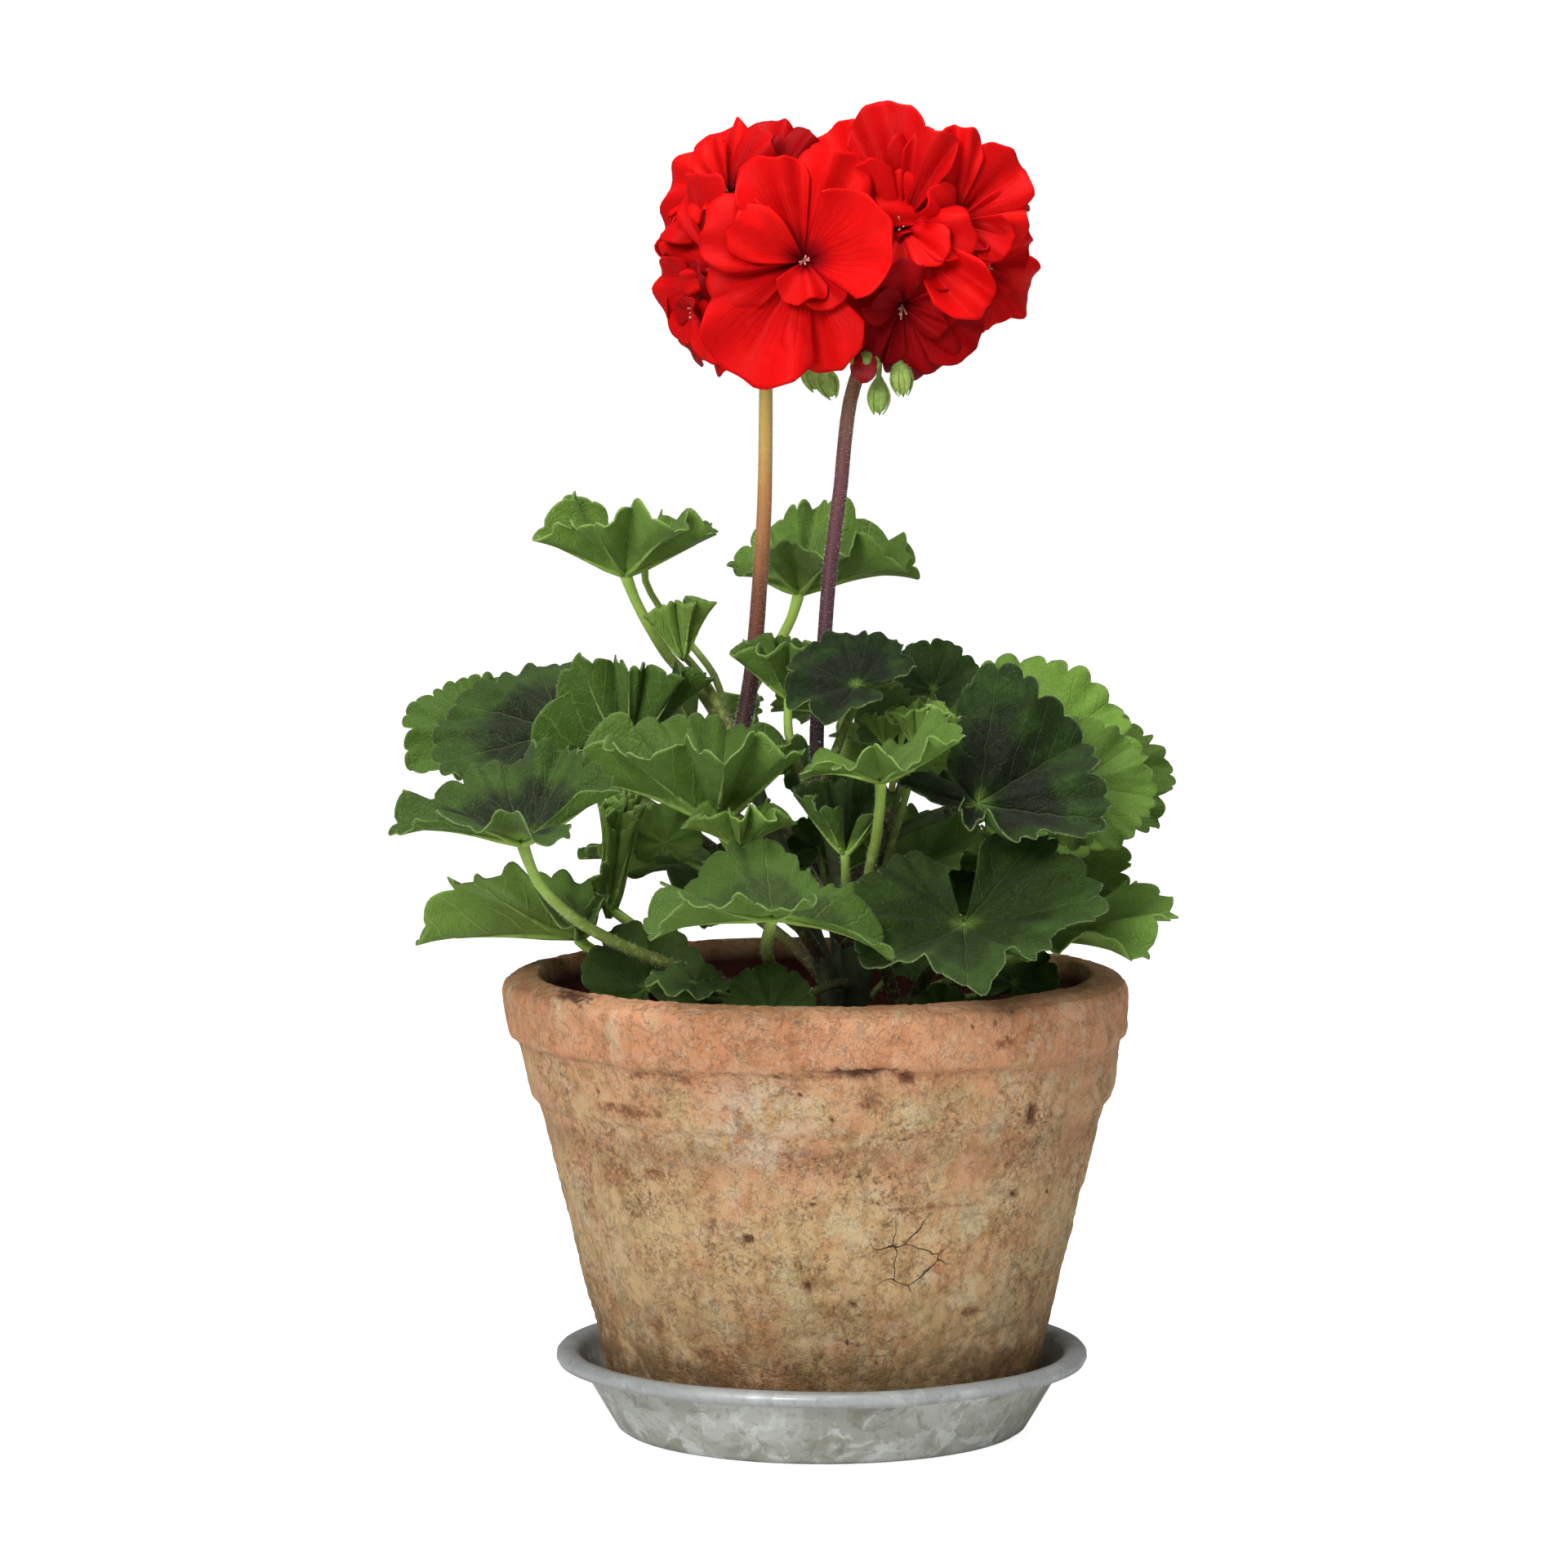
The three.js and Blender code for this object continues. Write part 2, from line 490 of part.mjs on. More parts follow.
// One petal: a narrow claw at the throat that fans out to a rounded, waved edge. Its side is from its middle
// line, -1 to 1, and its share from the throat outwards.
function petalSurface(throat, facing, [spin, length, spread, lift], random) {
  const sideways = new THREE.Vector3().crossVectors(up, facing).normalize();
  const above = new THREE.Vector3().crossVectors(facing, sideways);
  const direction = (a) => sideways.clone().multiplyScalar(Math.cos(a)).addScaledVector(above, Math.sin(a));
  const out = direction(rad(spin));
  const across = direction(rad(spin + 90));
  const phase = 2 * Math.PI * random();
  const wave = 0.05 * length * (0.6 + 0.8 * random());
  return (side, share) => {
    const angle = side * rad(spread);
    const far = length * share * (1 - 0.26 * Math.abs(side) ** 2.6);
    const rise = rad(lift) * (1 - 0.3 * share);
    const dish = 0.1 * length * side * side * share + wave * share * share * Math.sin(4 * side + phase);
    const along = far * Math.cos(angle);
    return throat.clone().addScaledVector(across, far * Math.sin(angle))
      .addScaledVector(out, along * Math.cos(rise) - dish * Math.sin(rise))
      .addScaledVector(facing, along * Math.sin(rise) + dish * Math.cos(rise));
  };
}

function petal(throat, facing, row, random, thickness) {
  const surface = petalSurface(throat, facing, row, random);
  const spots = [[0, 0.04], [-0.95, 0.6], [-0.6, 1], [0.05, 1], [0.65, 1], [0.95, 0.6], [0, 0.6]];
  const points = spots.map(([side, share]) => surface(side, share));
  const normal = new THREE.Vector3().crossVectors(
    points[5].clone().sub(points[0]), points[2].clone().sub(points[0])).normalize();
  if (normal.dot(facing) < 0) normal.negate();
  const edge = [0, 1, 2, 3, 4, 5];
  const triangles = edge.map((a, i) => [6, a, edge[(i + 1) % 6]]);
  return sheet(points, points.map(() => normal), triangles, edge, thickness);
}

function ellipsoid(centre, radii, detail) {
  const ball = new THREE.IcosahedronGeometry(1, detail).scale(...radii).translate(...centre);
  return solidOf(ball);
}

// A floret's petals with the tapered neck that joins their throat to the middle of the head.
function floret({ at, facing, petals, size }, centre, random, extra) {
  const [throat, direction] = [vector(at), heading(facing)];
  const neck = throat.clone().sub(vector(centre));
  const cone = new THREE.CylinderGeometry(2 + extra, 4 + extra, neck.length() + 3, 4);
  const along = neck.clone().normalize();
  cone.applyQuaternion(new THREE.Quaternion().setFromUnitVectors(new THREE.Vector3(0, 1, 0), along));
  cone.translate(...vector(centre).addScaledVector(neck, 0.5 + 1.5 / neck.length()).toArray());
  const rows = petals ?? [0, 1, 2, 3].map((i) => [35 + 90 * i, size, 38, 16]);
  const thickness = petalThickness + 2 * extra;
  return [solidOf(cone), ...rows.map((row) => petal(throat, direction, row, random, thickness))];
}

// The main stalk of a head with its hanging buds, each swollen by an extra.
function flowerStalk({ shoot: [shoot, share], stalk, buds }, extra) {
  const path = new THREE.CatmullRomCurve3([shootCurves[shoot].getPointAt(share), ...stalk.map(vector)]);
  const fork = path.getPointAt(0.93);
  const hung = buds.flatMap((bud) => {
    const neck = vector(bud).lerp(fork, 0.25).add(new THREE.Vector3(0, 0, 3));
    const stem = new THREE.CatmullRomCurve3([fork, neck, vector(bud)]);
    return [tube(stem, 0.8 + extra, 4, 3), ellipsoid(bud, [3 + extra, 3 + extra, 5.5 + extra], 0)];
  });
  return [tube(path, 2 + extra, 5, 9), ...hung].reduce((a, b) => a.add(b));
}

function redHead({ centre, core, florets }, seed, extra) {
  const random = seededRandom(seed);
  const pieces = florets.flatMap((f) => floret(f, centre, random, extra));
  return [ellipsoid(centre, core.map((r) => r + extra), 1), ...pieces].reduce((a, b) => a.add(b));
}

function makeFlowers(shootRoom) {
  const stalkRoom = flowerStalk(heads.left, clearance).add(flowerStalk(heads.right, clearance));
  const rightHead = redHead(heads.right, 12, 0).subtract(stalkRoom);
  const rightRoom = redHead(heads.right, 12, clearance);
  const leftHead = redHead(heads.left, 11, 0).subtract(stalkRoom).subtract(rightRoom);
  for (const side of ['left', 'right']) {
    const stalk = flowerStalk(heads[side], 0).subtract(shootRoom);
    addPiece('flower_stalk_' + side, wholeBody(stalk), heads[side].colour);
  }
  addPiece('flower_head_left', wholeBody(leftHead), 'petal');
  addPiece('flower_head_right', wholeBody(rightHead), 'petal');
}

// ---- assembly ----
const shootRoom = allShoots(clearance);
makeSaucer();
makePot();
makeSoil(shootRoom);
addPiece('shoots', wholeBody(allShoots(0)), 'shoot');
makeLeaves(shootRoom);
makeFlowers(shootRoom);

export default group;
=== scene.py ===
# A zonal geranium with two scarlet flower heads, in an old clay pot on a zinc saucer.
# Blender works in metres; every table here is in millimetres and degrees, +Z up and -Y the front.
import json
import math
import random

import bmesh
import bpy
import numpy as np
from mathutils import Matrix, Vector, noise
from mathutils.geometry import interpolate_bezier


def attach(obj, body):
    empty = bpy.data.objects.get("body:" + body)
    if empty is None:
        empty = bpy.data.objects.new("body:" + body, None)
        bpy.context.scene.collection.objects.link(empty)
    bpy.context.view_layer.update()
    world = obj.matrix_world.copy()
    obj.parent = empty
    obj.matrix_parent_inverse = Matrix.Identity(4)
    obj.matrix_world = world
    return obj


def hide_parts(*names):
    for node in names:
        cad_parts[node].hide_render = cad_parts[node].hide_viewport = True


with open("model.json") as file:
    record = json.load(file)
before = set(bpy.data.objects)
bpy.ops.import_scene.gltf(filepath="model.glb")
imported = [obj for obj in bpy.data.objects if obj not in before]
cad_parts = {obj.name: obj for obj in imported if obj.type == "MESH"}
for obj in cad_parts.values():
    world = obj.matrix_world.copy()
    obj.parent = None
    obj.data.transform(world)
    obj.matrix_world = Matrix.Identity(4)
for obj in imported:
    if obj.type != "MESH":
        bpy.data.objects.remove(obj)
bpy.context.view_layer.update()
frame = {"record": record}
mm = 0.001
slotOf = {part["node"]: part["material_slot"] for part in frame["record"]["subparts"]}


studio = {
    "camera": (-10.3, -1720.6, 339.3), "tiltDown": 5.41, "lens": 146.3, "sensor": 36,
    "skyStrength": 0.25, "floor": "#d8d8d8", "floorReach": 30.0, "floorGlow": 0.85,
    # name, place, aimed at, size, watts
    "lamps": [
        ("frontLamp", (-650, -1400, 1000), (0, 0, 180), 700, 27),
        ("topLamp", (-100, -200, 1500), (0, 0, 200), 700, 20),
        ("rightLamp", (1300, -700, 600), (0, 0, 180), 700, 3),
    ],
}


def linear(hexColour):
    channels = [int(hexColour[i:i + 2], 16) / 255 for i in (1, 3, 5)]
    return tuple(c / 12.92 if c <= 0.04045 else ((c + 0.055) / 1.055) ** 2.4 for c in channels) + (1.0,)


# adds a node with its settings and links; a value that is a socket is linked, any other is set
def addNode(tree, kind, inputs=None, output=0, **settings):
    node = tree.nodes.new(kind)
    for name, value in settings.items():
        setattr(node, name, value)
    for name, value in (inputs or {}).items():
        if isinstance(value, bpy.types.NodeSocket):
            tree.links.new(value, node.inputs[name])
        else:
            node.inputs[name].default_value = value
    return node.outputs[output]


def newMaterial(name, **values):
    material = bpy.data.materials.new(name)
    material.use_nodes = True
    shader = material.node_tree.nodes["Principled BSDF"]
    for socket, value in values.items():
        shader.inputs[socket.replace("_", " ")].default_value = value
    return material, material.node_tree, shader


# How much of something shows: the product of its parts. A part is a number, a socket, or a value with where
# it sets in, where it is full and, if that isn't 1, how full.
def showing(tree, *parts):
    whole = None
    for part in parts:
        if isinstance(part, tuple):
            value, start, end, *full = part
            most = full[0] if full else 1.0
            part = addNode(tree, "ShaderNodeMapRange", {0: value, 1: start, 2: end, 4: most},
                           interpolation_type="SMOOTHSTEP")
        whole = part if whole is None else addNode(tree, "ShaderNodeMath", {0: whole, 1: part},
                                                   operation="MULTIPLY")
    return whole


# colours laid one over another: each coat is its colour and the parts that say how much of it shows
def layCoats(tree, base, coats):
    colour = linear(base) if isinstance(base, str) else base
    for over, *parts in coats:
        over = linear(over) if isinstance(over, str) else over
        colour = addNode(tree, "ShaderNodeMix", {0: showing(tree, *parts), 6: colour, 7: over}, 2,
                         data_type="RGBA")
    return colour


def setUpStudio():
    scene = bpy.context.scene
    scene.view_settings.view_transform = "Standard"
    camera = bpy.data.objects.new("camera", bpy.data.cameras.new("camera"))
    camera.data.lens = studio["lens"]
    camera.data.sensor_width = studio["sensor"]
    camera.location = [c * mm for c in studio["camera"]]
    camera.rotation_euler = (math.radians(90 - studio["tiltDown"]), 0, 0)
    camera.data.clip_end = 20
    scene.collection.objects.link(camera)
    scene.camera = camera
    world = bpy.data.worlds.new("studio")
    world.use_nodes = True
    sky = world.node_tree.nodes["Background"]
    sky.inputs["Color"].default_value = (1, 1, 1, 1)
    seen = addNode(world.node_tree, "ShaderNodeLightPath")
    bright = addNode(world.node_tree, "ShaderNodeMapRange", {0: seen, 3: studio["skyStrength"]})
    world.node_tree.links.new(bright, sky.inputs["Strength"])
    scene.world = world
    for name, place, target, size, watts in studio["lamps"]:
        lamp = bpy.data.lights.new(name, "AREA")
        lamp.shape = "SQUARE"
        lamp.size = size * mm
        lamp.energy = watts
        holder = bpy.data.objects.new(name, lamp)
        holder.location = [c * mm for c in place]
        aim = Vector(target) - Vector(place)
        holder.rotation_euler = aim.to_track_quat("-Z", "Y").to_euler()
        scene.collection.objects.link(holder)
    floorMesh = bpy.data.meshes.new("floor")
    far = studio["floorReach"]
    corners = [(-far, -far, 0), (far, -far, 0), (far, far, 0), (-far, far, 0)]
    floorMesh.from_pydata(corners, [], [(0, 1, 2, 3)])
    floor = bpy.data.objects.new("floor", floorMesh)
    material, tree, shader = newMaterial("whitePaper", Roughness=0.9)
    shader.inputs["Base Color"].default_value = linear(studio["floor"])
    shader.inputs["Emission Color"].default_value = (1, 1, 1, 1)
    direct = addNode(tree, "ShaderNodeLightPath")
    glow = addNode(tree, "ShaderNodeMapRange", {0: direct, 4: studio["floorGlow"]})
    tree.links.new(glow, shader.inputs["Emission Strength"])
    floorMesh.materials.append(material)
    scene.collection.objects.link(floor)
    print("studio ready")


setUpStudio()


def addPiece(name, vertices, faces, materials, faceSlots=None, flat=None, attributes=None):
    mesh = bpy.data.meshes.new(name)
    mesh.from_pydata([tuple(v) for v in vertices], [], faces)
    for key, values in (attributes or {}).items():
        layer = mesh.attributes.new(key, "FLOAT_VECTOR", "POINT")
        layer.data.foreach_set("vector", np.asarray(values, dtype=np.float32).ravel())
    for material in materials:
        mesh.materials.append(material)
    if faceSlots is not None:
        mesh.polygons.foreach_set("material_index", np.asarray(faceSlots, dtype=np.int32))
    smooth = np.ones(len(faces), dtype=bool)
    if flat is not None:
        smooth[np.asarray(flat, dtype=bool)] = False
    mesh.polygons.foreach_set("use_smooth", smooth)
    welded = bmesh.new()  # closes seams and poles
    welded.from_mesh(mesh)
    bmesh.ops.remove_doubles(welded, verts=welded.verts, dist=1e-6)
    welded.to_mesh(mesh)
    welded.free()
    piece = bpy.data.objects.new(name, mesh)
    bpy.context.scene.collection.objects.link(piece)
    return piece


def settle(piece, slotName, *nodes):
    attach(piece, "root")
    if nodes:
        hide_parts(*nodes)


# several shapes gathered into one mesh, each with its own finish and point attributes
class Gathering:
    def __init__(self):
        self.points, self.faces, self.slots, self.flat = [], [], [], []
        self.attributes = {}

    def add(self, points, faces, slot=0, flat=None, **attributes):
        start = sum(len(p) for p in self.points)
        self.points.append(np.asarray(points, dtype=float))
        self.faces += [tuple(start + i for i in face) for face in faces]
        self.slots += [slot] * len(faces)
        self.flat += list(flat) if flat is not None else [False] * len(faces)
        for key, values in attributes.items():
            self.attributes.setdefault(key, []).append((start, np.asarray(values, dtype=float)))

    def build(self, name, materials):
        points = np.concatenate(self.points)
        attributes = {}
        for key, runs in self.attributes.items():
            whole = np.zeros((len(points), 3))
            for start, values in runs:
                whole[start:start + len(values)] = values
            attributes[key] = whole
        return addPiece(name, points * mm, self.faces, materials, self.slots, self.flat, attributes)


def unit(vectors):
    vectors = np.asarray(vectors, dtype=float)
    length = np.linalg.norm(vectors, axis=-1, keepdims=True)
    return vectors / np.maximum(length, 1e-12)


# faces of a grid of rows by columns, counted from a start
def gridFaces(rows, columns, start=0, flip=False, around=False):
    faces = []
    for i in range(rows - 1):
        for j in range(columns if around else columns - 1):
            k = (j + 1) % columns
            quad = (start + i * columns + j, start + (i + 1) * columns + j,
                    start + (i + 1) * columns + k, start + i * columns + k)
            faces.append(quad[::-1] if flip else quad)
    return faces


# a thin closed sheet from a grid of points: the top, the underside and the wall round the edge
def thinSheet(grid, thickness, poleNormal=None):
    rows, columns, _ = grid.shape
    outward, around = np.gradient(grid, axis=0), np.gradient(grid, axis=1)
    normals = unit(np.cross(outward, around))
    if poleNormal is not None:
        normals[0] = poleNormal
    top = (grid + normals * thickness / 2).reshape(-1, 3)
    under = (grid - normals * thickness / 2).reshape(-1, 3)
    count = rows * columns
    faces = gridFaces(rows, columns) + gridFaces(rows, columns, count, flip=True)
    flat = [False] * len(faces)
    loop = ([(0, j) for j in range(columns)] + [(i, columns - 1) for i in range(1, rows)]
            + [(rows - 1, j) for j in range(columns - 2, -1, -1)] + [(i, 0) for i in range(rows - 2, 0, -1)])
    ring = [i * columns + j for i, j in loop]
    for a, b in zip(ring, ring[1:] + ring[:1]):
        faces.append((a, b, b + count, a + count))
    flat += [True] * len(ring)
    return np.concatenate([top, under]), faces, flat


# Catmull-Rom curve, centripetal, resampled evenly by length
def smoothPath(points, steps):
    p = [np.asarray(q, dtype=float) for q in points]
    p = [2 * p[0] - p[1]] + p + [2 * p[-1] - p[-2]]
    fine = []
    for i in range(1, len(p) - 2):
        knots = [0.0]
        for a, b in zip(p[i - 1:i + 2], p[i:i + 3]):
            knots.append(knots[-1] + max(np.linalg.norm(b - a), 1e-6) ** 0.5)
        for t in np.linspace(knots[1], knots[2], 24, endpoint=i == len(p) - 3):
            level = p[i - 1:i + 3]
            for depth in range(1, 4):
                level = [((knots[k + depth] - t) * level[k] + (t - knots[k]) * level[k + 1])
                         / (knots[k + depth] - knots[k]) for k in range(len(level) - 1)]
            fine.append(level[0])
    return evenly(np.array(fine), steps)


# a path's points set evenly along its length
def evenly(fine, steps):
    run = np.concatenate([[0], np.cumsum(np.linalg.norm(np.diff(fine, axis=0), axis=1))])
    wanted = np.linspace(0, run[-1], steps + 1)
    return np.stack([np.interp(wanted, run, fine[:, k]) for k in range(3)], axis=1)


# a tube along a path with a radius at each point, closed at both ends by rounded caps
def tubeShape(path, radii, sides=12):
    path = np.asarray(path, dtype=float)
    ahead = unit(np.gradient(path, axis=0))
    across = np.cross(ahead[0], (0.3, 0.9, 0.2))
    rings = []
    for point, direction, radius in zip(path, ahead, radii):
        across = unit(across - direction * np.dot(across, direction))
        other = np.cross(direction, across)
        turn = np.linspace(0, 2 * np.pi, sides, endpoint=False)[:, None]
        rings.append(point + radius * (np.cos(turn) * across + np.sin(turn) * other))
    points = np.concatenate([[path[0] - ahead[0] * radii[0] * 0.4], *rings,
                             [path[-1] + ahead[-1] * radii[-1] * 0.4]])
    faces = gridFaces(len(path), sides, 1, flip=True, around=True)
    last = len(points) - 1
    for j in range(sides):
        k = (j + 1) % sides
        faces.append((0, 1 + k, 1 + j))
        faces.append((last, last - sides + j, last - sides + k))
    along = np.concatenate([[0], np.repeat(np.linspace(0, 1, len(path)), sides), [1]])
    return points, faces, along


pot = {
    "height": 125.3, "lean": -2, "turns": 440, "rowSpacing": 0.95, "innerRowSpacing": 3.5,
    # radius and height, from the foot up and down again inside to the drainage hole
    "outside": [(51, 1), (53.5, 3.2), (56.8, 7), (60.1, 22), (74.7, 82), (75.7, 86.5), (76.9, 90.2),
                (78.9, 92.6), (79.8, 96), (81.3, 105.6), (81.9, 107.6), (83.6, 108.6), (84.1, 110),
                (84.9, 119), (84.9, 121), (84.1, 123.2), (81, 124.7), (76.2, 125.3)],
    "inside": [(75.0, 124.9), (74.4, 123.2), (73, 112), (71, 102), (51.5, 16), (47, 12), (9, 12), (9, 1)],
    # how far the skin strays, and over what distances; the rings are the marks of throwing
    "lumps": 0.6, "lumpSize": 17, "grain": 0.32, "grainSize": 2.3, "fineGrainSize": 1.2, "mostProud": 0.25,
    "rings": 0.25, "ringLength": 0.6, "ringHeight": 1.9, "trueFoot": 2, "fullWear": 8,
    "pits": 7, "pitSpacing": 5.5, "pitReach": 0.2, "pitClusters": 21, "ragged": 3.1, "finelyRagged": 1.4,
    # flaked and scraped places on the front: x, z, half width, half height, depth
    "marks": [(9.5, 108.6, 12, 1.6, 1.4), (22, 107, 4, 1.9, 1.1), (12.5, 101, 2.6, 3.8, 0.8),
              (-20, 62.5, 2.4, 1.3, 1.6), (-29.5, 65.4, 1.3, 3, 0.9), (-4.2, 50, 1.2, 1.5, 1.5),
              (8, 45, 1.3, 0.9, 1.0), (16, 45.5, 1.2, 1, 0.9), (29, 71, 14, 0.9, 0.4),
              (55.4, 94.4, 1.5, 4.8, 1.1), (-64, 126, 6, 2.6, 1.4), (-51, 96, 9, 2, 0.6),
              (-44.6, 78.7, 2.6, 1.5, 0.9), (51, 72, 1.3, 1.3, 1.1), (39.5, 40, 2.8, 1.6, 0.9),
              (-42, 106.4, 12, 1.1, 0.6), (49, 114.5, 5, 1.2, 0.5), (-31, 29, 3, 1.4, 0.7)],
    # heights between which each zone of the skin comes in; the two ledge zones bound a painted shadow under
    # the ledge
    "rubbedRim": (112, 98), "darkerFoot": (62, 14), "warmBand": (66, 84), "ledgeShadowTop": (90, 86.5),
    "ledgeShadowFoot": (76, 85),
    # a place on the wall, where the patch fades out and where it is full
    "crack": ((24, -66.5, 58), 13.5, 8), "salts": ((-18, -74, 94), 20, 5),
}


# old low-fired earthenware: dull and porous, with salts, algae and soil in its skin, orange where rubbed
def agedTerracotta():
    material, tree, shader = newMaterial("agedTerracotta", Roughness=0.92, IOR=1.45)
    place = addNode(tree, "ShaderNodeTexCoord", output=3)
    state = addNode(tree, "ShaderNodeAttribute", output=1, attribute_name="state")
    height = addNode(tree, "ShaderNodeSeparateXYZ", {0: place}, 2)
    fresh, hollow, inner = (addNode(tree, "ShaderNodeSeparateXYZ", {0: state}, k) for k in range(3))

    def cloud(size, shift=0.0, squash=1.0):
        at = addNode(tree, "ShaderNodeMapping", {0: place, 1: (shift, shift, shift), 3: (1, 1, squash)})
        return addNode(tree, "ShaderNodeTexNoise", {"Vector": at, "Scale": 1 / (size * mm), "Detail": 9,
                                                    "Roughness": 0.68})

    def zone(name):
        return (height, *(z * mm for z in pot[name]))

    def patch(name):
        centre, faded, full = pot[name]
        away = addNode(tree, "ShaderNodeVectorMath", {0: place, 1: [c * mm for c in centre]}, 1,
                       operation="DISTANCE")
        return (away, faded * mm, full * mm)

    belly = showing(tree, zone("rubbedRim"))
    crusted = addNode(tree, "ShaderNodeMapRange", {0: belly, 3: 0.35})
    crusted = showing(tree, crusted, (cloud(19, 0.35), 0.44, 0.6))
    colour = layCoats(tree, "#fbb584", [
        ("#dc8f5c", (cloud(28), 0.42, 0.62, 0.7)),
        ("#f4c196", (cloud(9, 0.4), 0.46, 0.6, 0.6)),
        ("#efca93", belly, (cloud(34), 0.3, 0.5)),  # lime and soil that dried on the wall
        ("#beae77", belly, (cloud(26, 0.3), 0.52, 0.68, 0.75)),  # dead algae
        ("#ad743f", belly, (cloud(15, 0.7), 0.52, 0.66, 0.7)),
        ("#bc8350", (cloud(5, 0.5, 0.5), 0.48, 0.62, 0.5)),
        ("#f5e3ba", (cloud(8, 0.9, 0.6), 0.5, 0.64, 0.55)),
        ("#e8935a", (cloud(16, 0.1), 0.55, 0.68, 0.45)),  # bare clay where it is rubbed
        ("#f6b283", zone("warmBand"), (cloud(13, 0.6), 0.42, 0.58, 0.6)),
        # painted shadow: darker brown just under the ledge
        ("#986740", zone("ledgeShadowTop"), (*zone("ledgeShadowFoot"), 0.3)),
        ("#966034", crusted, (cloud(2.8, 0.8), 0.5, 0.6, 0.6)),
        ("#5f3a22", crusted, (cloud(1.1), 0.5, 0.62, 0.6)),
        ("#f8e6c8", patch("salts"), (cloud(5, 0.25, 0.5), 0.42, 0.56, 0.65)),
        ("#ecdfc6", (cloud(1.4, 0.2), 0.56, 0.66, 0.5)),
        ("#96958a", (cloud(3.5, 0.6), 0.6, 0.68, 0.55)),
        # darker brown towards the foot
        ("#754d20", zone("darkerFoot"), (cloud(9), 0.22, 0.6, 0.85)),
        ("#8c4a2a", fresh, (cloud(2.5), 0.35, 0.6, 0.75)),
        ("#4f2d1b", (hollow, 0.15, 0.75, 0.8)),
        ("#6b2e1e", inner),
    ])

    # a hair-fine crack runs where cell borders fall inside a small round patch
    bent = addNode(tree, "ShaderNodeTexNoise", {"Vector": place, "Scale": 1 / (6 * mm)}, 1)
    wander = addNode(tree, "ShaderNodeVectorMath", {0: bent, 1: [4 * mm] * 3, 2: place},
                     operation="MULTIPLY_ADD")
    border = addNode(tree, "ShaderNodeTexVoronoi", {"Vector": wander, "Scale": 1 / (10 * mm)},
                     feature="DISTANCE_TO_EDGE")
    crack = showing(tree, (border, 0.022, 0.004), patch("crack"))
    tree.links.new(layCoats(tree, colour, [("#2e1c12", crack)]), shader.inputs["Base Color"])

    sand = addNode(tree, "ShaderNodeTexNoise", {"Vector": place, "Scale": 1 / (0.7 * mm), "Detail": 5,
                                                "Roughness": 0.7})
    crust = addNode(tree, "ShaderNodeTexNoise", {"Vector": place, "Scale": 1 / (4.5 * mm), "Detail": 7,
                                                 "Roughness": 0.68})
    relief = addNode(tree, "ShaderNodeMath", {0: crust, 1: 2.4, 2: sand}, operation="MULTIPLY_ADD")
    flakes = showing(tree, (crust, 0.52, 0.55))
    relief = addNode(tree, "ShaderNodeMath", {0: flakes, 1: 0.9, 2: relief}, operation="MULTIPLY_ADD")
    relief = addNode(tree, "ShaderNodeMath", {0: crack, 1: -1.5, 2: relief}, operation="MULTIPLY_ADD")
    bump = addNode(tree, "ShaderNodeBump", {"Strength": 1.0, "Distance": 0.0016, "Height": relief})
    tree.links.new(bump, shader.inputs["Normal"])
    return material


# rows of a profile no further apart than the spacing
def resampled(profile, spacing):
    rows = []
    for (r0, z0), (r1, z1) in zip(profile, profile[1:]):
        steps = max(1, round(math.hypot(r1 - r0, z1 - z0) / spacing))
        rows += [(r0 + (r1 - r0) * i / steps, z0 + (z1 - z0) * i / steps) for i in range(steps)]
    return rows + [profile[-1]]


